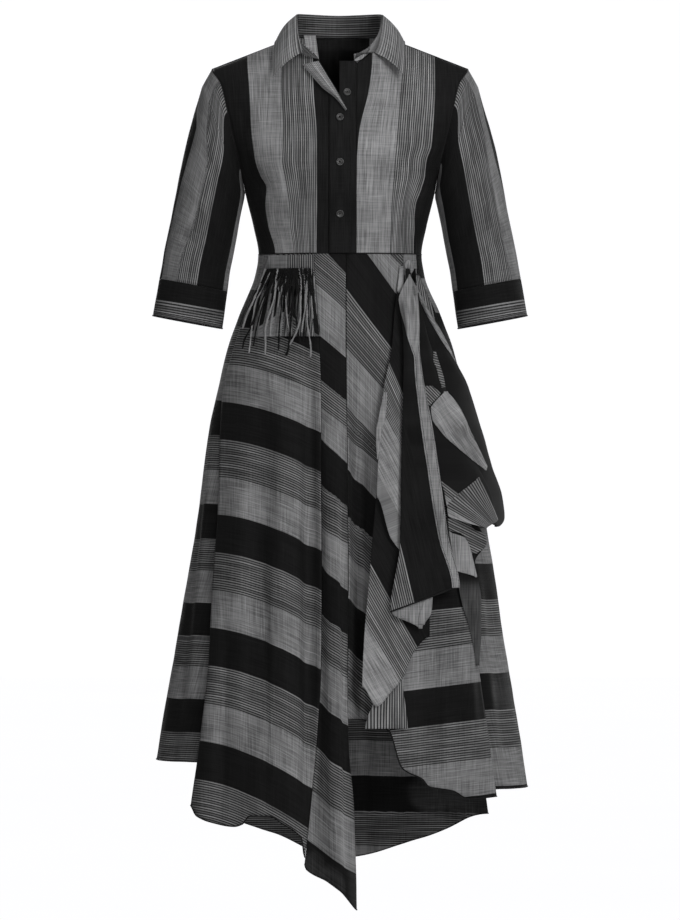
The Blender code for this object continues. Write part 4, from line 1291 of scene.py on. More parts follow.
def stitches(name, sheet, path, finish="grey_thread", pitch=0.0027, length=0.0019,
             width=0.00042):
    """Row of machine stitches along a path that lies on a piece of cloth."""
    mesh = bmesh.new()
    gone = 0.0
    due = pitch / 2
    for start, end in zip(path, path[1:]):
        span = (end - start).length
        while span > 0 and due <= gone + span:
            centre = start.lerp(end, (due - gone) / span)
            way = (end - start).normalized() * (length / 2)
            side = way.cross(Vector((0, 0, 1.0)))
            if side.length < 1e-6:
                side = Vector((1.0, 0.0, 0.0))
            side = side.normalized() * (width / 2)
            up = way.cross(side).normalized() * (width / 2)
            tips = [mesh.verts.new(centre + offset)
                    for offset in (way, -way, side, -side, up, -up)]
            for tip in (0, 1):
                for one, two in ((2, 4), (4, 3), (3, 5), (5, 2)):
                    mesh.faces.new((tips[tip], tips[one], tips[two]))
            due += pitch
        gone += span
    bmesh.ops.recalc_face_normals(mesh, faces=mesh.faces)
    return sew_on(name, mesh, sheet, finish)


def among(rows, place):
    """Value at a place between rows of (value, place), which run on at the last slope."""
    high = 1
    while high < len(rows) - 1 and place > rows[high][1]:
        high += 1
    (low_value, low_place), (high_value, high_place) = rows[high - 1], rows[high]
    part = (place - low_place) / (high_place - low_place)
    return mix(low_value, high_value, part)


def cords(name, sheet, strands, finish, pitch):
    """Hanging threads of two plies twisted round each strand's line."""
    mesh = bmesh.new()
    for radius, line in strands:
        for ply in (0, 1):
            rings = []
            gone = 0.0
            for place, centre in enumerate(line):
                before = line[max(place - 1, 0)]
                after = line[min(place + 1, len(line) - 1)]
                gone += (centre - before).length
                way = (after - before).normalized()
                side = way.cross(Vector((0.0, 1.0, 0.0))).normalized()
                up = way.cross(side)
                turn = tau * (gone / pitch + ply / 2)
                thin = radius * (0.62 + 0.25 * noise.noise(centre * 160))
                if place > len(line) - 5:
                    thin *= 0.55 + 0.1 * (len(line) - place)
                middle = centre + (side * cos(turn) + up * sin(turn)) * thin * 0.9
                rings.append([
                    mesh.verts.new(middle + (side * cos(angle) + up * sin(angle)) * thin)
                    for angle in corners(PIPING_SIDES)])
            join_rings(mesh, rings)
    bmesh.ops.recalc_face_normals(mesh, faces=mesh.faces)
    return sew_on(name, mesh, sheet, finish)


def smooth_line(points, count):
    """Points along a smooth line through the given ones."""
    found = []
    for index in range(count):
        low, part = split(index / (count - 1), len(points))
        near = [points[limit(low + step, 0, len(points) - 1)] for step in (-1, 0, 1, 2)]
        weights = (-part + 2 * part ** 2 - part ** 3, 2 - 5 * part ** 2 + 3 * part ** 3,
                   part + 4 * part ** 2 - 3 * part ** 3, part ** 3 - part ** 2)
        found.append(tuple(sum(weight * spot[axis] for weight, spot in zip(weights, near)) / 2
                           for axis in range(len(points[0]))))
    return found


class Creases:
    """Soft creases, each along a line: rows of x, drop, x, drop, half width and height."""

    def __init__(self, *rows):
        self.rows = rows

    def at(self, x, drop):
        push = 0.0
        for x_start, drop_start, x_end, drop_end, half_width, height in self.rows:
            run, down = x_end - x_start, drop_end - drop_start
            part = ((x - x_start) * run + (drop - drop_start) * down) / (run * run + down * down)
            if -0.15 < part < 1.15:
                off = (x - x_start) * down - (drop - drop_start) * run
                off /= hypot(run, down) * half_width
                if abs(off) < 3:
                    ends = smooth_rise(part, -0.15, 0.3) * (1 - smooth_rise(part, 0.7, 1.15))
                    push += height * exp(-off * off) * ends
        return push


class Borders:
    """Straight borders between bands of cloth: rows of across_cloth, x, drop, x, drop."""

    def __init__(self, *rows):
        self.rows = rows

    def at(self, x, drop):
        """How far across the cloth a point lies; what lies past a border is on its far side."""
        before = None
        for across_cloth, x_start, drop_start, x_end, drop_end in self.rows:
            run = x_end - x_start
            down = drop_end - drop_start
            past = ((drop - drop_start) * run - (x - x_start) * down) / hypot(run, down)
            if past <= 0:
                if before is None:
                    return across_cloth + past
                low_cloth, low_past = before
                return mix(low_cloth, across_cloth, low_past / (low_past - past))
            before = (across_cloth, past)
        return before[0] + before[1]


# ---- how the bands lie ----


def evenly(first, *places):
    """Rows of (cloth, place) for borders one band apart, counted from first."""
    return [(round(band * LINED_BAND, 3), place) for band, place in enumerate(places, first)]


# Where a band begins, as x at each drop: grey, lined and black from the left, and again.
BODICE_BANDS = Table(
    "drop grey_left lined_left black_left grey_right lined_right black_right",
    (0.025, -0.1432, -0.09, -0.042, 0.05, 0.0977, 0.1465),
    (0.07, -0.14, -0.09, -0.041, 0.0454, 0.0942, 0.1465),
    (0.138, -0.1364, -0.0876, -0.036, 0.03, 0.0887, 0.143),
    (0.161, -0.1341, -0.088, -0.0355, 0.0275, 0.0872, 0.1409),
    (0.184, -0.131, -0.0887, -0.0353, 0.026, 0.0855, 0.1341),
    (0.207, -0.124, -0.085, -0.0353, 0.0257, 0.084, 0.1328),
    (0.225, -0.1149, -0.082, -0.0353, 0.0254, 0.0825, 0.127),
    (0.252, -0.1149, -0.078, -0.0353, 0.0252, 0.0806, 0.117),
    (0.285, -0.11, -0.076, -0.036, 0.025, 0.079, 0.1136),
    (0.325, -0.1, -0.0716, -0.0364, 0.025, 0.0772, 0.1136),
)
BODICE_STEPS = (
    (0.11, "grey_left"), (0.055, "lined_left"), (0.0, "black_left"),
    (-0.055, "grey_right"), (-0.11, "lined_right"), (-0.165, "black_right"),
)

# Where a sleeve's grey, lined and black bands begin, as a share from underarm to outer line.
SLEEVE_BANDS_LEFT = Table(
    "length grey lined black",
    (0.02, 1.0, 0.897, 0.648), (0.1, 1.0, 0.841, 0.48), (0.19, 0.975, 0.763, 0.43),
    (0.26, 0.901, 0.685, 0.424), (0.37, 0.91, 0.619, 0.422), (0.5, 0.94, 0.612, 0.423),
    (0.66, 0.968, 0.667, 0.427), (0.8, 0.972, 0.72, 0.436), (0.9, 0.97, 0.753, 0.445),
)
SLEEVE_BANDS_RIGHT = Table(
    "length grey lined black",
    (0.02, 1.0, 0.936, 0.7), (0.1, 1.0, 0.92, 0.524), (0.15, 0.985, 0.909, 0.505),
    (0.26, 0.955, 0.885, 0.489), (0.41, 0.96, 0.845, 0.468), (0.53, 0.99, 0.836, 0.46),
    (0.63, 1.0, 0.835, 0.465), (0.81, 1.0, 0.844, 0.467), (0.9, 1.0, 0.868, 0.464),
)
SLEEVE_LENGTH = 0.38
TURN_WIDTH = 0.001
SLEEVE_BACK_TURN = 12.0
CUFF_LENGTH = 0.057
CUFF_RADIUS = 0.055
CUFF_EDGE_PLACE = 0.03
CUFF_STRETCH = 0.96
LEVEL_STRETCH = 1.1

# The front left panel's first lined band: where it begins at the left and the right seam, how
# far the bands are stretched down them, and how late across the panel they turn to the right.
FRONT_LEFT_DROPS = (0.4976, 0.5425)
FRONT_LEFT_STRETCH = (1.0504, 1.096)
FRONT_LEFT_BEND = 1.6
# A lined band narrower than it should be skips lines, unless it is narrower than this.
LINED_BAND_LEAST = 0.02
LINED_BAND_SKIP = 0.0014

# Drop of each border at the two edges of the centre left gore.
CENTRE_LEFT_BANDS = evenly(
    -1, (0.244, 0.298), (0.3038, 0.3581), (0.3729, 0.4145), (0.4532, 0.4876), (0.5224, 0.5549),
    (0.5642, 0.5944), (0.6123, 0.6502), (0.6817, 0.7177), (0.7477, 0.7727), (0.806, 0.8448),
    (0.8804, 0.9114), (0.944, 0.9774), (1.0137, 1.0494), (1.0827, 1.1231), (1.1486, 1.1929),
    (1.223, 1.2746),
)
CENTRE_LEFT_LEVEL = 0.8
CENTRE_RIGHT_BORDERS = Borders(
    (-0.11, 0.0791, 0.3295, 0.0992, 0.3503), (-0.055, 0.0434, 0.3295, 0.0893, 0.3928),
    (0.0, 0.0112, 0.3829, 0.0794, 0.4738), (0.055, 0.0112, 0.4738, 0.0694, 0.5391),
    (0.086, 0.0112, 0.5185, 0.0617, 0.5749), (0.055, 0.0102, 0.5633, 0.0539, 0.6107),
    (0.0371, 0.0102, 0.5857, 0.0526, 0.627), (0.055, 0.0102, 0.6082, 0.0512, 0.6433),
    (0.11, 0.0116, 0.6583, 0.0512, 0.7006), (0.165, 0.0129, 0.7325, 0.0476, 0.7642),
    (0.177, 0.0129, 0.7342, 0.0476, 0.7659),
    (0.22, 0.0129, 0.789, 0.0279, 0.8029), (0.275, 0.0129, 0.8556, 0.0388, 0.8804),
)
FRONT_RIGHT_BORDERS = Borders(
    (0.33, 0.1359, 0.8751, 0.1984, 0.8692), (0.385, 0.1122, 0.9376, 0.2043, 0.9257),
    (0.44, 0.1003, 0.997, 0.2147, 0.985), (0.495, 0.1062, 1.0534, 0.2235, 1.0414),
    (0.55, 0.0944, 1.1141, 0.2339, 1.1008),
)
SIDE_LEFT_BANDS = evenly(
    0, 0.438, 0.4945, 0.5529, 0.6068, 0.6603, 0.713, 0.7688, 0.8153, 0.8649, 0.9161, 0.9626,
    1.0122, 1.0633,
)
SIDE_RIGHT_BANDS = (
    (-0.2, 0.325), (-0.168, 0.362), (-0.108, 0.3635), (-0.055, 0.417), (-0.0015, 0.475),
    (0.0, 0.53), (0.275, 0.805), (0.33, 0.86), (0.385, 0.916), (0.44, 0.973),
    (0.495, 1.029), (0.55, 1.0875),
)
BODICE_BACK_BANDS = ((0.33, -0.212), (0.165, -0.047), (0.11, 0.047), (-0.055, 0.212))
BACK_BANDS = evenly(1, 1.0866, 1.1424, 1.198, 1.253)


def lay_bodice_front(across, along, spot):
    drop = -spot.z
    rows = [(value, BODICE_BANDS.at(drop, name)) for value, name in BODICE_STEPS]
    return drop, among(rows, spot.x)


def lay_bodice_back(across, along, spot):
    return -spot.z, among(BODICE_BACK_BANDS, spot.x)


def lay_sleeve(bands):
    def lay(turn, length, spot):
        grey, lined, black = (degrees(acos(2 * min(bands.at(length, name), 1.0) - 1))
                              for name in ("grey", "lined", "black"))
        width = min((black - lined) * TURN_WIDTH, LINED_BAND - 0.001)
        rows = ((GREY_BAND, grey), (LINED_BAND, lined), (width, lined + 0.8), (0.0, black))
        if turn < grey:
            grey = mix(grey, SLEEVE_BACK_TURN, smooth_rise(-turn, 0.0, 40.0))
            place = GREY_BAND + (grey - turn) * TURN_WIDTH
        elif turn > black:
            place = (black - turn) * TURN_WIDTH
        else:
            place = among(rows, turn)
        return length * SLEEVE_LENGTH, place
    return lay


def lay_cuff(turn, length, spot):
    from_end = (1.0 - length) * CUFF_LENGTH / (1.0 - CUFF_START)
    return radians(turn) * CUFF_RADIUS, CUFF_EDGE_PLACE - from_end * CUFF_STRETCH


def lay_front_left(across, along, spot):
    """Bands that lie lower at the right seam than at the left one."""
    left, right = (LINED_BAND + (-spot.z - drop) / stretch
                   for drop, stretch in zip(FRONT_LEFT_DROPS, FRONT_LEFT_STRETCH))
    return spot.x, mix(left, right, across ** FRONT_LEFT_BEND)


def with_even_lines(rows, level=1.0):
    """Rows of (cloth, place) that skip a few fine lines where a lined band shows too narrow."""
    found = []
    for (value, place), (_, following) in zip(rows, rows[1:] + rows[-1:]):
        found.append((value, place))
        width = (following - place) * level
        if round(value % REPEAT, 4) in (0.0, REPEAT) and LINED_BAND_LEAST < width < LINED_BAND:
            found.append((value + LINED_BAND - width, place + LINED_BAND_SKIP))
    return found


def lay_centre_left(across, along, spot):
    rows = [(place, mix(left, right, across)) for place, (left, right) in CENTRE_LEFT_BANDS]
    return spot.x, among(with_even_lines(rows, CENTRE_LEFT_LEVEL), -spot.z)


# Upright stripes at the right hip: level with the knot, and below it, where they lean outward.
HIP_BLACK_DROP = 0.418
HIP_LEAN_DROP = 0.357
HIP_LEAN = 0.22
HIP_FOOT_DROP = 0.6
HIP_TOP_BANDS = ((0.07, 0.08), (GREY_BAND, 0.1185), (0.114, 0.1205), (GREY_BAND, 0.1225),
                 (0.1, 0.135))
HIP_LOW_BANDS = ((0.0, 0.13), (-0.055, 0.134), (-0.075, 0.155))
CASCADE_TURN_DROP = 0.385


def lay_front_right(across, along, spot):
    drop = -spot.z
    if drop > HIP_FOOT_DROP:
        return spot.x, FRONT_RIGHT_BORDERS.at(spot.x, drop)
    if drop < HIP_LEAN_DROP:
        return drop, among(HIP_TOP_BANDS, spot.x)
    lean = (drop - HIP_LEAN_DROP) * HIP_LEAN
    rows = ((0.036, 0.105), *((value, place + lean) for value, place in HIP_LOW_BANDS))
    if drop > HIP_BLACK_DROP and spot.x > rows[1][1]:
        return drop, BLACK_PLACE - REPEAT
    return drop, among(rows, spot.x)


def lay_drape_side(across, along, spot):
    """Black, but above the roll it carries on the skirt's stripes."""
    drop = -spot.z
    if drop < SIDE_ROLL.keys[-1] and spot.x > SIDE_ROLL.at(drop, "right") and spot.y < 0:
        return lay_front_right(across, along, spot)
    return drop, BLACK_PLACE - REPEAT


def lay_by_borders(borders):
    def lay(across, along, spot):
        return spot.x, borders.at(spot.x, -spot.z)
    return lay


def lay_level(rows, way=0):
    """Level bands; way is 0 where the stripes run from side to side, 1 from front to back."""
    def lay(across, along, spot):
        return spot[way] * LEVEL_STRETCH, among(with_even_lines(rows), -spot.z)
    return lay


def lay_plain(place, turn=0.0):
    """Cloth of one band only, its grain turned from the vertical by the given slope."""
    def lay(across, along, spot):
        share = (spot.x + spot.z * turn) / PLAIN_WIDTH % 2.0
        return spot.x * turn - spot.z, place + (abs(share - 1.0) - 0.5) * PLAIN_WIDTH
    return lay


def lay_straight(reach, start, width, turned=False):
    """Cloth whose stripes run across it, or down it where it is turned.

    It takes up reach metres along the stripes, and width metres across them from start.
    """
    def lay(across, along, spot):
        if turned:
            across, along = along, across
        return across * reach, start + along * width
    return lay


def lay_pocket_band(across, along, spot):
    return -spot.z, LINED_BAND - (spot.x - POCKET_BORDER_TOP_X)


def lay_pouch(across, along, spot):
    border = mix(POCKET_BORDER_TOP_X, POCKET_BORDER_FOOT_X, along)
    place = min(LINED_BAND - (spot.x - border) * 0.85, GREY_BAND - 0.003)
    # Painted shade: the cloth in the troughs between the gathers is laid black. Just under the
    # band the cloth is black as well.
    painted_gather_shade = 1 - smooth_rise(pouch_gather(across, 0.0) / GATHER_DEPTH, -0.14, 0.02)
    under_band = 1 - smooth_rise(along, 0.05, 0.26)
    black = BLACK_PLACE if place > LINED_BAND else BLACK_PLACE - REPEAT
    return -spot.z, mix(place, black, max(painted_gather_shade * (1 - along) ** 0.4, under_band))


# Patches of thin cloth whose black is painted lighter, as light shining through it.
TIP_THIN = thin_patches(((-0.019, 1.296, 0.027, 0.036, 0.55), (-0.04, 1.262, 0.018, 0.022, 0.4)))
BACK_THIN = thin_patches(((0.148, 1.168, 0.042, 0.034, 0.6), (0.205, 1.176, 0.046, 0.034, 0.6)))
SIDE_RIGHT_THIN = thin_patches(((0.262, 1.0, 0.03, 0.034, 0.7),))
TAIL_BORDER = Borders((0.165, 0.0915, 0.7704, 0.1132, 0.8603))


def lay_tail(across, along, spot):
    return -spot.z, limit(TAIL_BORDER.at(spot.x, -spot.z), 0.114, 0.215)


CASCADE_UPPER_BORDERS = Borders(
    (0.165, 0.0814, 0.5093, 0.0952, 0.541), (0.22, 0.0715, 0.5806, 0.0913, 0.6181))
CASCADE_LOWER_BORDERS = Borders(
    (0.165, 0.0468, 0.8037, 0.1178, 0.93), (0.22, 0.0405, 0.895, 0.0874, 0.9725))


def lay_cascade(borders):
    def lay(across, along, spot):
        place = limit(borders.at(spot.x, -spot.z), 0.112, 0.272)
        if -spot.z < CASCADE_TURN_DROP:
            place = GREY_PLACE
        return -spot.z + spot.x * 0.4, place
    return lay


def lay_foot(across, along, spot):
    return -spot.z, 0.004 + (spot.x - 0.0385) * mix(0.62, 0.8, across)


# Layers of the drape that lie on its larger ones, between a left and a right edge.
TAIL_FACING = edges(
    (0.359, 0.1058, 0.108), (0.3735, 0.0992, 0.115), (0.3844, 0.0942, 0.1186),
    (0.3983, 0.0902, 0.1204), (0.4138, 0.0922, 0.1217), (0.4355, 0.098, 0.1224),
    (0.4572, 0.1035, 0.1219), (0.4743, 0.1093, 0.1222), (0.4867, 0.1136, 0.1232),
    (0.5053, 0.1146, 0.1255), (0.5208, 0.1156, 0.128), (0.5441, 0.1184, 0.1322),
    (0.5797, 0.1226, 0.1394), (0.6812, 0.137, 0.1545), (0.7641, 0.1512, 0.1665),
    (0.8401, 0.1713, 0.1829),
)
TAIL_TURN = edges(
    (0.826, 0.133, 0.142), (0.864, 0.127, 0.141), (0.88, 0.121, 0.1385),
    (0.896, 0.119, 0.129),
)
UPPER_TURN = edges(
    (0.5409, 0.0667, 0.0721), (0.5611, 0.0626, 0.0713), (0.5812, 0.0589, 0.0697),
    (0.5983, 0.0555, 0.0643), (0.6215, 0.055, 0.0612), (0.644, 0.0566, 0.0589),
)
SIDE_LEAF = edges(
    (0.5391, 0.16, 0.165), (0.5487, 0.1515, 0.1725), (0.5608, 0.141, 0.1815),
    (0.5648, 0.1389, 0.1838), (0.5806, 0.1405, 0.193), (0.5983, 0.1515, 0.201),
    (0.6122, 0.164, 0.2085), (0.6191, 0.1722, 0.212), (0.6398, 0.1972, 0.2218),
    (0.6522, 0.213, 0.2265), (0.6603, 0.2225, 0.225),
)
SIDE_CORNER = edges(
    (0.5309, 0.1286, 0.1418), (0.5378, 0.1291, 0.1503), (0.5417, 0.1302, 0.1542),
    (0.5518, 0.1318, 0.1465), (0.5611, 0.1348, 0.1389),
)
SIDE_SLIVER = edges(
    (0.4774, 0.1434, 0.1472), (0.4898, 0.1434, 0.1503), (0.5053, 0.1488, 0.1553),
    (0.5208, 0.1528, 0.1596), (0.5332, 0.1565, 0.1617),
)
SIDE_FAN = edges(
    (0.6712, 0.2108, 0.2139), (0.6835, 0.1984, 0.2193), (0.6959, 0.1821, 0.2255),
    (0.7146, 0.1635, 0.2333), (0.73, 0.1651, 0.2402), (0.7373, 0.1829, 0.2426),
    (0.744, 0.2046, 0.2325), (0.7497, 0.2216, 0.2248),
)
SIDE_TRIANGLE = edges(
    (0.6774, 0.1547, 0.1565), (0.6874, 0.1573, 0.1689), (0.6975, 0.1596, 0.1813),
    (0.7068, 0.1612, 0.1705), (0.7146, 0.1628, 0.1643),
)
SIDE_ROLL = edges(
    (0.372, 0.114, 0.1175), (0.385, 0.1165, 0.121), (0.399, 0.1225, 0.1288),
    (0.415, 0.13, 0.1367), (0.429, 0.137, 0.1441), (0.4425, 0.1451, 0.153),
    (0.456, 0.153, 0.1608), (0.468, 0.161, 0.1675), (0.48, 0.1692, 0.174),
    (0.488, 0.175, 0.178), (0.493, 0.1785, 0.1796),
)
FAN_BORDERS = Borders(
    (0.002, 0.2124, 0.6712, 0.2426, 0.7373), (0.053, 0.164, 0.716, 0.204, 0.738))
TRIANGLE_BORDERS = Borders((0.042, 0.1547, 0.6774, 0.1813, 0.6975))
CORNER_BORDERS = Borders((0.001, 0.1286, 0.512, 0.16, 0.5434))
SLIVER_BORDERS = Borders((0.001, 0.138, 0.47, 0.17, 0.48))
RUFFLE_LEAF = edges(
    (0.7539, 0.1671, 0.1685), (0.7642, 0.169, 0.1921), (0.7808, 0.1715, 0.2003),
    (0.7974, 0.174, 0.2046), (0.8138, 0.1792, 0.2085), (0.8246, 0.208, 0.2106),
)
RUFFLE_FLAP = edges(
    (0.734, 0.1655, 0.199), (0.753, 0.1675, 0.208), (0.7564, 0.185, 0.22),
    (0.7642, 0.1925, 0.225), (0.772, 0.197, 0.2263), (0.78, 0.1995, 0.223),
    (0.788, 0.202, 0.211),
)
FLAP_BORDERS = Borders((0.001, 0.1655, 0.72, 0.2263, 0.75))

# Where the pocket's grey meets its lined band.
POCKET_BORDER_TOP_X = -0.0806
POCKET_BORDER_FOOT_X = -0.0899

# Threads that hang from the pocket: their thickness, then x and drop from the band down.
LIGHT_THREADS = (
    (0.0016, ((-0.0956, 0.35), (-0.0988, 0.376), (-0.1008, 0.394), (-0.1059, 0.412),
              (-0.1111, 0.428), (-0.1143, 0.441), (-0.115, 0.454), (-0.1143, 0.467),
              (-0.115, 0.483))),
    (0.0009, ((-0.0865, 0.35), (-0.093, 0.368), (-0.0956, 0.376), (-0.093, 0.389),
              (-0.0956, 0.41))),
    (0.001, ((-0.0762, 0.35), (-0.0827, 0.37), (-0.0891, 0.38), (-0.0878, 0.394))),
    (0.0015, ((-0.0626, 0.35), (-0.0601, 0.376), (-0.0607, 0.402), (-0.0613, 0.428),
              (-0.0659, 0.446), (-0.0723, 0.459), (-0.0794, 0.471))),
    (0.0014, ((-0.0568, 0.35), (-0.0543, 0.376), (-0.053, 0.394), (-0.0536, 0.415),
              (-0.0568, 0.434), (-0.0588, 0.449))),
    (0.0013, ((-0.0491, 0.35), (-0.051, 0.39), (-0.0503, 0.432), (-0.0478, 0.451),
              (-0.0446, 0.472), (-0.0452, 0.487))),
    (0.0012, ((-0.1059, 0.35), (-0.1162, 0.376), (-0.1285, 0.398), (-0.133, 0.419),
              (-0.1356, 0.441), (-0.1369, 0.454), (-0.1401, 0.48))),
    (0.0017, ((-0.115, 0.35), (-0.1266, 0.384), (-0.1395, 0.412), (-0.1447, 0.424),
              (-0.15, 0.442))),
    (0.0009, ((-0.0439, 0.35), (-0.0439, 0.396), (-0.0413, 0.428))),
    (0.001, ((-0.0827, 0.35), (-0.0833, 0.396), (-0.0801, 0.434), (-0.0762, 0.451))),
)
TASSELS = 26
TASSEL_LEFT_X = -0.1125
TASSEL_RIGHT_X = -0.0445
TASSEL_DROP = 0.35
DARK_THREADS = (
    (0.0013, ((-0.068, 0.35), (-0.0646, 0.384), (-0.0704, 0.399), (-0.0723, 0.41),
              (-0.0672, 0.428), (-0.0646, 0.447), (-0.0607, 0.465))),
    (0.0014, ((-0.0762, 0.35), (-0.0827, 0.375), (-0.0891, 0.394), (-0.0904, 0.415),
              (-0.093, 0.441), (-0.0943, 0.477))),
    (0.0015, ((-0.0995, 0.35), (-0.1085, 0.374), (-0.1188, 0.396), (-0.1266, 0.415),
              (-0.133, 0.43), (-0.1382, 0.443), (-0.1473, 0.46), (-0.15, 0.474))),
    (0.0019, ((-0.07, 0.35), (-0.0749, 0.428), (-0.0788, 0.472), (-0.0827, 0.484))),
    (0.0013, ((-0.051, 0.35), (-0.049, 0.39), (-0.054, 0.43), (-0.056, 0.462))),
    (0.0012, ((-0.101, 0.35), (-0.109, 0.38), (-0.12, 0.41), (-0.129, 0.445), (-0.133, 0.47))),
)


BODICE_CREASES = Creases(
    (-0.15, 0.175, -0.1, 0.25, 0.008, -0.0022), (-0.155, 0.2, -0.11, 0.3, 0.007, 0.002),
    (-0.1, 0.12, -0.08, 0.29, 0.01, 0.0016), (-0.06, 0.14, -0.06, 0.315, 0.008, -0.0012),
    (0.15, 0.175, 0.11, 0.245, 0.008, -0.0024), (0.14, 0.215, 0.105, 0.31, 0.007, 0.0022),
    (0.085, 0.11, 0.075, 0.3, 0.009, -0.0016), (0.05, 0.12, 0.045, 0.31, 0.008, 0.0014),
    (0.12, 0.12, 0.108, 0.3, 0.007, -0.0018), (-0.125, 0.07, -0.115, 0.19, 0.011, 0.0014),
)
FRONT_CREASES = Creases(
    (-0.205, 0.78, -0.222, 1.18, 0.013, 0.0057), (-0.176, 0.86, -0.182, 1.19, 0.01, -0.0051),
    (-0.148, 0.7, -0.15, 1.2, 0.014, 0.0054), (-0.118, 0.78, -0.112, 1.22, 0.01, -0.0054),
    (-0.092, 0.64, -0.078, 1.21, 0.011, 0.0046), (-0.048, 0.48, -0.046, 1.2, 0.012, -0.0105),
    (-0.02, 0.56, -0.01, 1.26, 0.009, 0.0049), (0.0, 0.7, 0.006, 1.3, 0.007, -0.0041),
    (0.026, 0.56, 0.03, 1.0, 0.009, -0.0046), (-0.12, 0.47, -0.08, 0.64, 0.014, 0.0027),
    (0.12, 0.9, 0.128, 1.18, 0.011, 0.0046), (0.158, 0.85, 0.166, 1.19, 0.01, -0.0049),
    (0.19, 0.84, 0.206, 1.19, 0.011, 0.0049), (0.22, 0.88, 0.238, 1.18, 0.009, -0.0041),
)
SIDE_CREASES = Creases(
    (-0.212, 0.64, -0.262, 1.12, 0.01, -0.0062), (-0.19, 0.56, -0.236, 1.11, 0.009, 0.0054),
    (0.226, 0.82, 0.268, 1.17, 0.01, -0.0054), (0.205, 0.78, 0.246, 1.17, 0.009, 0.0049),
)
BACK_CREASES = Creases(
    (-0.19, 0.78, -0.205, 1.24, 0.013, 0.0057), (-0.14, 0.7, -0.155, 1.25, 0.012, -0.0057),
    (-0.09, 0.64, -0.1, 1.26, 0.012, 0.0054), (-0.03, 0.6, -0.04, 1.28, 0.011, -0.0059),
    (0.03, 0.66, 0.04, 1.27, 0.012, 0.0054), (0.085, 0.72, 0.1, 1.26, 0.011, -0.0054),
    (0.14, 0.7, 0.16, 1.25, 0.012, 0.0051), (0.185, 0.8, 0.2, 1.23, 0.011, -0.0051),
)
BODICE_BACK_CREASES = Creases(
    (-0.15, 0.17, -0.09, 0.26, 0.009, -0.0022), (0.15, 0.165, 0.095, 0.25, 0.009, -0.0022),
    (-0.07, 0.08, -0.055, 0.3, 0.011, 0.0018), (0.06, 0.09, 0.05, 0.305, 0.011, 0.0018),
    (-0.02, 0.2, 0.015, 0.32, 0.01, -0.0018),
)
SLEEVE_CREASES = Creases(
    (-0.215, 0.16, -0.176, 0.235, 0.008, -0.0026), (-0.232, 0.215, -0.196, 0.285, 0.008, 0.0024),
    (-0.248, 0.29, -0.205, 0.33, 0.007, -0.0022), (-0.218, 0.11, -0.205, 0.3, 0.01, 0.0018),
    (0.215, 0.165, 0.178, 0.23, 0.008, -0.0026), (0.236, 0.225, 0.198, 0.3, 0.008, 0.0024),
    (0.25, 0.3, 0.208, 0.34, 0.007, -0.0022), (0.222, 0.12, 0.21, 0.31, 0.01, 0.0018),
)

LEAF_CREASES = Creases(
    (0.0985, 0.4, 0.1075, 0.452, 0.004, 0.0065),
    (0.115, 0.395, 0.118, 0.462, 0.0035, 0.005),
    (0.1441, 0.5642, 0.1598, 0.6054, 0.006, 0.005),
    (0.1745, 0.5583, 0.1951, 0.6014, 0.006, 0.0065),
)


def over(creases):
    """How far a set of creases moves a point of a panel; they die away at its seams."""
    def push(across, along, spot):
        home = smooth_rise(across, 0.0, 0.1) * (1 - smooth_rise(across, 0.9, 1.0))
        return creases.at(spot.x, -spot.z) * home
    return push


def calm_front(across, along):
    """Keeps the bodice's crumple away from its armholes and shoulders."""
    return (1 - smooth_rise(abs(across), 0.9, 1.0)) * (1 - smooth_rise(along, 0.88, 1.0))


def over_back(across, along, spot):
    home = smooth_rise(across, -1.0, -0.85) * (1 - smooth_rise(across, 0.85, 1.0))
    return BODICE_BACK_CREASES.at(spot.x, -spot.z) * home


def over_sleeve(turn, length, spot):
    home = smooth_rise(length, 0.06, 0.25) * (1 - smooth_rise(length, 0.78, CUFF_START))
    return SLEEVE_CREASES.at(spot.x, -spot.z) * home


# A button's rim, hollow and middle, as shares of its radius and its thickness.
BUTTON_PROFILE = (
    (0.55, 0.0), (0.88, 0.02), (0.98, 0.2), (1.0, 0.5), (0.97, 0.82), (0.9, 0.98),
    (0.82, 0.99), (0.74, 0.84), (0.62, 0.62), (0.5, 0.55), (0.05, 0.53),
)
KNOT_LOOP = ((0.113, 0.378), (0.117, 0.379), (0.1195, 0.384), (0.1178, 0.39), (0.115, 0.388))

# The stand's ends inside the opening: their upper then their lower corners, from the left.
STAND_ENDS = (
    ("left", ((-0.056, -0.03, 0.0125), (-0.0375, -0.026, 0.0125),
              (-0.05, -0.062, -0.026), (-0.0322, -0.064, -0.029))),
    ("right", ((0.0215, -0.066, -0.019), (0.048, -0.052, -0.012),
               (0.0225, -0.07, -0.0405), (0.048, -0.062, -0.034))),
)
STAND_BUTTONHOLE = (
    (0.027, -0.07, -0.03), (0.0305, -0.0702, -0.029), (0.0345, -0.0698, -0.027),
    (0.039, -0.069, -0.0265))


def patch(spots):
    """Bowed four-cornered patch of cloth, from its upper to its lower corners."""
    upper_left, upper_right, lower_left, lower_right = (Vector(spot) for spot in spots)

    def point(across, along):
        found = upper_left.lerp(upper_right, across).lerp(
            lower_left.lerp(lower_right, across), along)
        bow = PATCH_BOW * arch(across) * arch(along)
        return found + Vector((0.0, -bow, 0.0))
    return point


def knot_centre():
    return before_skirt(KNOT_X, KNOT_DROP, 0.0052)


def knot_gather(turn, along):
    """Point of the waist knot: a squashed bundle with pleats that run down it."""
    angle = radians(turn)
    pleat = 1 + 0.12 * sin(angle * 7 + along * 2.5) * arch(along)
    wide = arch(along) * pleat
    width, depth, height = KNOT_SIZE
    return knot_centre() + Vector((
        sin(angle) * wide * width * 0.85, -cos(angle) * wide * depth * 0.6,
        cos(pi * along) * height))


def lay_knot(turn, along, spot):
    return -spot.z, GREY_PLACE + radians(turn) * 0.006


# ---- pieces ----


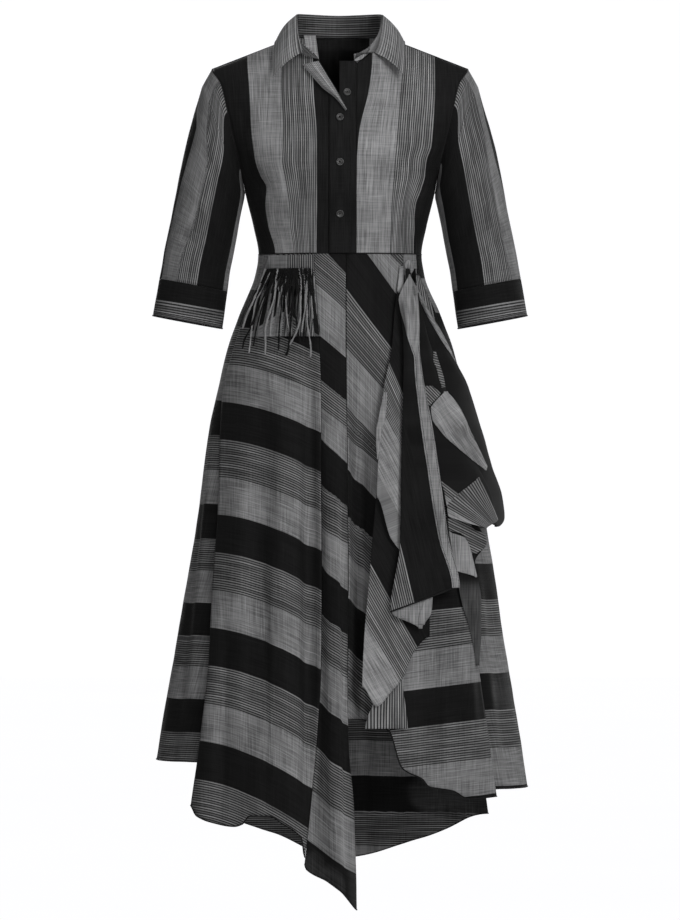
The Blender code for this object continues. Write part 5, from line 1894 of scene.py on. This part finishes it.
def make_bodice():
    def bodice(name, kind, point, columns, lay, rows=100, finish="bodice", **more):
        return cloth(name, kind, finish, point, columns, steps(rows), lay,
                     Vector((0, 0, -0.15)), **more)

    shaped = {"creases": over(BODICE_CREASES), "calm": calm_front}
    front_left = bodice(
        "bodice_front_left", "striped", bodice_front(-1, -PLACKET_LEFT_X, left_neckline),
        steps(70), lay_bodice_front, **shaped)
    front_right = bodice(
        "bodice_front_right", "striped", bodice_front(1, UNDER_PLACKET_RIGHT_X, right_neckline),
        steps(70), lay_bodice_front, **shaped)
    back = bodice("bodice_back", "striped", bodice_back, steps(101, -1.0), lay_bodice_back,
                  creases=over_back, calm=calm_front)
    top = bodice("placket_top", "black", placket_top, steps(12), lay_plain(BLACK_PLACE))
    bodice("placket_under", "black", placket_under, steps(10), lay_plain(BLACK_PLACE))
    lapel_piece = bodice("lapel_turned_back", "grey", lapel, steps(20),
                         lay_straight(0.09, 0.004, 0.03, turned=True), 50, "facing")
    for name, across in (("left", 0.05), ("right", 0.95)):
        stitches(f"placket_stitches_{name}", top, top.down(across, STITCH_LIFT),
                 "black_thread")
    for name, piece in (("front_left", front_left), ("front_right", front_right),
                        ("back", back)):
        piping(f"waist_seam_{name}", piece, piece.over(0.0), radius=0.0009)
    for name, piece, side in (("left", front_left, -1), ("right", front_right, 1)):
        seam_tape(f"shoulder_tape_{name}", piece, [
            [spot for spot in sheet.over(along, -lift) if spot.x * side > NECK_POINT_X - 0.002]
            for sheet, along, lift in ((piece, 0.97, 0.0018), (piece, 1.0, 0.0014),
                                       (back, 1.0, 0.0014), (back, 0.97, 0.0018))],
            lambda spot: abs(spot.x))
        seam_down(f"side_tape_{name}", piece, back, SIDE_SEAM_TOP, (1.0, (1 + side) / 2))
        shoulder = [spot for spot in piece.over(1.0) if abs(spot.x) > NECK_POINT_X - 0.004]
        piping(f"shoulder_seam_{name}", piece, shoulder, radius=0.0007)
    piping("lapel_lip", lapel_piece, lapel_piece.down(1.0), "grey_hem", 0.0008)


def make_collar():
    neck = Vector((0, 0, -0.02))
    stand = cloth("collar_stand", "grey", "stand", collar_stand, steps(120), steps(14),
                  lay_straight(0.33, 0.004, 0.033), neck)
    leaf = cloth("collar_leaf", "striped", "collar", collar_leaf, steps(140), steps(24),
                 lay_straight(LEAF_LENGTH, 0.002, 0.047), neck)
    edges_met = stand.over(1.0), leaf.over(0.0)

    def collar_fold(across, along):
        low, high = (edge[round(across * (len(edge) - 1))] for edge in edges_met)
        return low.lerp(high, along) + Vector((0, 0, 0.0008 * arch(along)))

    cloth("collar_fold", "striped", "collar", collar_fold, steps(100), steps(4),
          lay_straight(LEAF_LENGTH, 0.002, 0.004), neck, wall=TAPE_WALL, parent=leaf,
          calm=uncrumpled)
    for name, spots in STAND_ENDS:
        cloth(f"stand_end_{name}", "grey", "facing", patch(spots), steps(16), steps(16),
              lay_straight(0.04, 0.078, 0.02, turned=True), neck, parent=stand)
    slot = [Vector(spot) for spot in smooth_line(STAND_BUTTONHOLE, 16)]
    piping("stand_buttonhole", stand, slot, "black_thread", 0.0005)
    piping("collar_edge", leaf, leaf.over(1.0), "grey_hem", 0.0009)
    stitches("collar_stitches", leaf, leaf.over(0.9, STITCH_LIFT))


def make_sleeves():
    around = full_turn(180)
    lengths = steps(90, 0.0, CUFF_START)
    bands = {"left": SLEEVE_BANDS_LEFT, "right": SLEEVE_BANDS_RIGHT}
    for name, hand in (("left", -1), ("right", 1)):
        arm = cloth(
            f"sleeve_{name}", "striped", "sleeve", sleeve(hand), around, lengths,
            lay_sleeve(bands[name]), Vector((hand * 0.205, 0.0, -0.22)), tube=True,
            creases=over_sleeve, calm=lambda turn, length: smooth_rise(length, 0.0, 0.1))
        seam = arm.over(0.0, -0.0006)
        piping(f"armhole_seam_{name}", arm, seam + seam[:1], radius=0.0012)
        cuff = cloth(f"cuff_{name}", "black", "skirt", sleeve(hand), around,
                     steps(20, CUFF_START + 0.0008, 1.0), lay_cuff,
                     Vector((hand * 0.232, 0.0, -0.4)), tube=True)
        piping(f"cuff_edge_{name}", cuff, cuff.over(1.0))


def make_skirt():
    middle = Vector((0, 0, -0.75))
    panels = {}

    def panel(name, point, columns, lay, creases=FRONT_CREASES, rows=150, sheer=None):
        panels[name] = cloth(f"skirt_{name}", "striped", "skirt", point, steps(columns),
                             steps(rows), lay, middle, creases=over(creases), sheer=sheer)

    panel("front_left", front_panel("side_left", "princess", HEM_FRONT_LEFT, FRONT_LEFT_STAND),
          64, lay_front_left)
    panel("centre_left", front_panel("princess", "centre", HEM_CENTRE_LEFT), 40,
          lay_centre_left, rows=360, sheer=TIP_THIN)
    panel("centre_right", front_panel("centre", "hip", HEM_FRONT_RIGHT, ease=CENTRE_SEAM_EASE),
          36, lay_by_borders(CENTRE_RIGHT_BORDERS))
    panel("front_right", front_panel("hip", "side_right", HEM_FRONT_RIGHT), 56,
          lay_front_right)
    panel("side_left", side_panel(-1, "side_left", HEM_SIDE_LEFT_DROP), 60,
          lay_level(SIDE_LEFT_BANDS, 1), SIDE_CREASES)
    panel("side_right", side_panel(1, "side_right", HEM_SIDE_RIGHT_DROP), 60,
          lay_level(SIDE_RIGHT_BANDS, 1), SIDE_CREASES, sheer=SIDE_RIGHT_THIN)
    panel("back", skirt_back, 110, lay_level(BACK_BANDS), BACK_CREASES, sheer=BACK_THIN)
    for name, piece in panels.items():
        piping(f"hem_{name}", piece, piece.over(1.0))
    for name, first, second, sides in (
        ("princess_tape", "front_left", "centre_left", (1.0, 0.0)),
        ("centre_tape", "centre_left", "centre_right", (1.0, 0.0)),
        ("hip_tape", "centre_right", "front_right", (1.0, 0.0)),
        ("side_front_tape_left", "front_left", "side_left", (0.0, 0.0)),
        ("side_front_tape_right", "front_right", "side_right", (1.0, 0.0)),
        ("side_back_tape_left", "side_left", "back", (1.0, 0.0)),
        ("side_back_tape_right", "side_right", "back", (1.0, 1.0)),
    ):
        seam_down(name, panels[first], panels[second], 0.0, sides)


@functools.lru_cache(maxsize=None)
def hip_outline(drop):
    """Points round the outside of the hip drape at one height."""
    top = SIDE_DRAPE.keys[0]
    return [side_drape(across, (drop - top) / (SIDE_DRAPE_HEM.at(across, "drop") - top))
            for across in steps(90)]


def rolled_edge(across, along):
    """Rolled fold of cloth that runs from the knot round to the side of the hip."""
    drop = SIDE_ROLL.key_at(along)
    height = (0.0012 + 0.004 * arch(across)) * (1 - 0.85 * along ** 6)
    outline = hip_outline(drop)
    x = min(SIDE_ROLL.between(drop, across), max(place.x for place in outline) - 0.002)
    crossings = [first.lerp(second, (x - first.x) / (second.x - first.x))
                 for first, second in zip(outline, outline[1:])
                 if min(first.x, second.x) <= x < max(first.x, second.x)]
    nearest = min(outline, key=lambda place: abs(place.x - x))
    spot = min(crossings or [nearest], key=lambda place: place.y)
    return spot + Vector((0.3, -0.95, 0.0)) * height


def make_drape():
    hip = Vector((0.05, 0.0, -0.7))

    def drape(name, point, columns, rows, lay, kind="striped", **more):
        return cloth(name, kind, "drape", point, steps(columns), steps(rows), lay, hip, **more)

    def on(table):
        """Surface of a hanging layer, for a smaller layer to lie on."""
        return lambda x, drop, lift: fall_at(table, x, drop, lift)

    grey = lay_plain(GREY_PLACE)
    tail = drape("drape_tail", fall(TAIL, hem_rise=TAIL_HEM_RISE), 46, 140, lay_tail, "black")
    facing = drape("tail_facing", layer(TAIL_FACING, on(TAIL), 0.0014), 24, 150, grey, "grey",
                   parent=tail, creases=over(LEAF_CREASES))
    for name, across in (("left", 0.12), ("right", 0.88)):
        stitches(f"tail_stitches_{name}", facing, facing.down(across, STITCH_LIFT)[34:],
                 "black_thread", pitch=0.0024, length=0.0023, width=0.0013)
    piping("tail_hem", tail, tail.over(1.0))
    corner = drape("drape_tail_corner", fall(TAIL_CORNER), 24, 30, grey, "grey")
    drape("corner_turn", layer(TAIL_TURN, on(TAIL_CORNER), 0.0012), 10, 24, grey, "grey",
          parent=corner)
    upper = drape("drape_cascade_upper", fall(CASCADE_UPPER, CASCADE_UPPER_HEM), 36, 110,
                  lay_cascade(CASCADE_UPPER_BORDERS))
    drape("drape_cascade_lower", fall(CASCADE_LOWER, CASCADE_LOWER_HEM), 60, 100,
          lay_cascade(CASCADE_LOWER_BORDERS))
    drape("drape_cascade_foot", fall(CASCADE_FOOT), 40, 40, lay_foot)
    side = drape("drape_side", side_drape, 120, 110, lay_drape_side)
    drape("upper_turn", layer(UPPER_TURN, on(CASCADE_UPPER), 0.0012), 6, 30, grey, "grey",
          parent=upper)
    drape("side_leaf", layer(SIDE_LEAF, side_at, 0.0012), 40, 60, lay_plain(GREY_PLACE, 0.7),
          parent=side, creases=over(LEAF_CREASES))
    for name, table, columns, rows, borders in (
        ("side_corner", SIDE_CORNER, 16, 20, CORNER_BORDERS),
        ("side_sliver", SIDE_SLIVER, 6, 40, SLIVER_BORDERS),
        ("side_fan", SIDE_FAN, 50, 50, FAN_BORDERS),
        ("side_triangle", SIDE_TRIANGLE, 20, 24, TRIANGLE_BORDERS),
    ):
        drape(name, layer(table, side_at, 0.001), columns, rows, lay_by_borders(borders),
              parent=side)
    drape("side_roll", rolled_edge, 12, 70, lay_plain(GREY_PLACE, 0.9), parent=side)
    # The ruffle's foot is painted lighter, as light shining through its thin black cloth.
    ruffle = drape("drape_ruffle", fall(RUFFLE), 30, 80, lay_plain(BLACK_PLACE),
                   sheer=lambda spot: smooth_rise(-spot.z, 0.825, 0.85))
    drape("ruffle_flap", layer(RUFFLE_FLAP, on(RUFFLE), 0.0011), 20, 30,
          lay_by_borders(FLAP_BORDERS), parent=ruffle)
    drape("ruffle_leaf", layer(RUFFLE_LEAF, on(RUFFLE), 0.0022), 24, 40, grey, "grey",
          parent=ruffle)
    knot = cloth("drape_knot", "grey", "drape", knot_gather, full_turn(56),
                 steps(24, 0.03, 0.97), lay_knot, knot_centre(), tube=True)
    loop = [before_skirt(x, drop, 0.034) for x, drop in smooth_line(KNOT_LOOP, 16)]
    piping("knot_loop", knot, loop, "grey_hem")


def sewn_button(name, seat, right, up, normal):
    """Button on the cloth at seat, and the middle of its face."""
    foot = seat + normal * SEAM_GAP
    mesh = bmesh.new()
    join_rings(mesh, [[
        mesh.verts.new(
            foot + (right * cos(turn) + up * sin(turn)) * BUTTON_RADIUS * share
            + normal * BUTTON_THICKNESS * height)
        for turn in corners(40)] for share, height in BUTTON_PROFILE])
    button = finish_piece(new_object(name, mesh), "button", "button")
    return button, foot + normal * BUTTON_THICKNESS * 0.66


def make_buttons():
    """Satin buttons sewn on with a cross of thread, square to the cloth they lie on."""
    for number, (x, drop, stand) in enumerate(BUTTONS, 1):
        low, high = -BUTTON_RADIUS, BUTTON_RADIUS
        along_x = torso(-1, x + high, -drop, stand) - torso(-1, x + low, -drop, stand)
        along_z = torso(-1, x, -drop + high, stand) - torso(-1, x, -drop + low, stand)
        normal = along_x.cross(along_z).normalized()
        right = along_x.normalized()
        up = normal.cross(right)
        button, top = sewn_button(f"shirt_button_{number}", torso(-1, x, -drop, stand), right, up,
                                  normal)
        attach(button, "root")
        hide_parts(f"button_{number}")
        cross = []
        for rise in (1, -1):
            ends = [top + (right * side + up * side * rise) * BUTTON_RADIUS * 0.26
                    for side in (-1, 1)]
            middle = ends[0].lerp(ends[1], 0.5) + normal * 0.0003
            cross.append((0.00055, [ends[0], middle, ends[1]]))
        cords(f"button_thread_{number}", Sheet(button, [], [], False), cross, "black_thread",
              pitch=0.002)


def pocket_tassels():
    """Short uneven threads all along the foot of the pocket's band."""
    tassels = []
    for index in range(TASSELS):
        spread = noise.noise(Vector((index * 1.7, 3.0, 0.0)))
        x = mix(TASSEL_LEFT_X, TASSEL_RIGHT_X, (index + 0.5) / TASSELS)
        reach = 0.036 + 0.034 * noise.noise(Vector((index * 2.3, 9.0, 0.0)))
        lean = (x + 0.066) * 0.42 + 0.008 * spread
        line = [(x + lean * part ** 1.2, TASSEL_DROP + reach * part) for part in steps(16)]
        tassels.append((0.0017 + 0.0004 * spread,
                        [before_pouch(place, drop, 0.0028) for place, drop in line]))
    return tassels


def make_pocket():
    hip = Vector((0, 0, -0.4))
    cloth("pocket_band", "grey", "skirt", pocket_band, steps(40), steps(12),
          lay_pocket_band, hip)
    pouch_piece = cloth("pocket_pouch", "striped", "skirt", pouch, steps(200), steps(60),
                        lay_pouch, hip)
    for name, threads, tassels, finish in (
        ("light", LIGHT_THREADS, [], "grey_thread"),
        ("dark", DARK_THREADS, pocket_tassels(), "black_thread"),
    ):
        strands = []
        for radius, points in threads:
            radius *= 1.15
            line = [before_pouch(x, drop, radius * 1.5) for x, drop in smooth_line(points, 70)]
            strands.append((radius, line))
        fringe = cords(f"fringe_{name}", pouch_piece, strands + tassels, finish, pitch=0.0044)
        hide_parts("pocket_fringe")


# ---- studio ----


STAGE_RADIUS = 16.0
STAGE_HEIGHT = 26.0
STAGE_CURVE = 2.0
STAGE_GAP = 0.1
WORLD_LIGHT = 0.26

# Each lamp's place, width in metres and power in watts. All of them face the dress's middle.
LAMPS = {
    "key": ((1.9, -3.3, 0.8), 1.2, 98.0),
    "fill": ((-1.6, -3.9, -0.3), 1.8, 26.0),
    "low": ((0.4, -3.6, -1.5), 1.0, 42.0),
    "top": ((0.2, -0.9, 2.2), 1.2, 18.0),
    "back": ((-0.8, 3.5, 0.9), 1.6, 90.0),
    "back_fill": ((2.9, 2.4, -0.4), 2.0, 62.0),
}
MIDDLE_Z = -0.6448
VIEW_HEIGHT = 1.426
CAMERA_DISTANCE = 12.0
SENSOR_HEIGHT = 24.0


def make_backdrop():
    """Round stage of pale paper that curves up into its wall."""
    backdrop = Recipe("pale studio paper", Specular_IOR_Level=0.0, Emission_Strength=1.0)
    grain = backdrop.noise(backdrop.spot(), 4.0)
    backdrop.set("Base Color", backdrop.blend(shade(0.05), shade(0.07), grain))
    backdrop.set("Emission Color", backdrop.blend(shade(0.985), shade(1.0), grain))
    floor_z = CAD_BOX[0][2] - STAGE_GAP
    profile = [(STAGE_RADIUS, floor_z)]
    for turn in (radians(90 * index / 12) for index in range(1, 13)):
        profile.append((STAGE_RADIUS + STAGE_CURVE * sin(turn),
                        floor_z + STAGE_CURVE * (1 - cos(turn))))
    profile.append((STAGE_RADIUS + STAGE_CURVE, STAGE_HEIGHT))
    mesh = bmesh.new()
    rings = [[mesh.verts.new((reach * cos(turn), reach * sin(turn), height))
              for turn in corners(64)] for reach, height in profile]
    mesh.faces.new(rings[0])
    join_rings(mesh, rings, ends=False)
    paper = new_object("studio_paper", mesh)
    paper.data.materials.append(backdrop.material)
    paper.data.shade_smooth()
    paper.visible_diffuse = False
    paper.visible_glossy = False
    paper.visible_shadow = False


def make_studio():
    scene = bpy.context.scene
    scene.view_settings.view_transform = "Standard"
    make_backdrop()
    world = bpy.data.worlds.new("studio")
    world.use_nodes = True
    background = world.node_tree.nodes["Background"].inputs
    background["Color"].default_value = (1.0, 1.0, 1.0, 1.0)
    background["Strength"].default_value = WORLD_LIGHT
    scene.world = world
    for name, (place, size, power) in LAMPS.items():
        data = bpy.data.lights.new(name, "AREA")
        data.size = size
        data.energy = power
        lamp = bpy.data.objects.new(name, data)
        lamp.location = place
        way = Vector((0.0, 0.0, MIDDLE_Z)) - Vector(place)
        lamp.rotation_euler = way.to_track_quat("-Z", "Y").to_euler()
        scene.collection.objects.link(lamp)

    data = bpy.data.cameras.new("camera")
    data.sensor_fit = "VERTICAL"
    data.sensor_height = SENSOR_HEIGHT
    data.lens = SENSOR_HEIGHT * CAMERA_DISTANCE / VIEW_HEIGHT
    data.clip_end = 60.0
    camera = bpy.data.objects.new("camera", data)
    camera.location = (0.0, -CAMERA_DISTANCE, MIDDLE_Z)
    camera.rotation_euler = (pi / 2, 0.0, 0.0)
    scene.collection.objects.link(camera)
    scene.camera = camera


FINISHES = make_finishes()
make_studio()
make_bodice()
make_collar()
make_sleeves()
make_skirt()
make_drape()
make_pocket()
make_buttons()
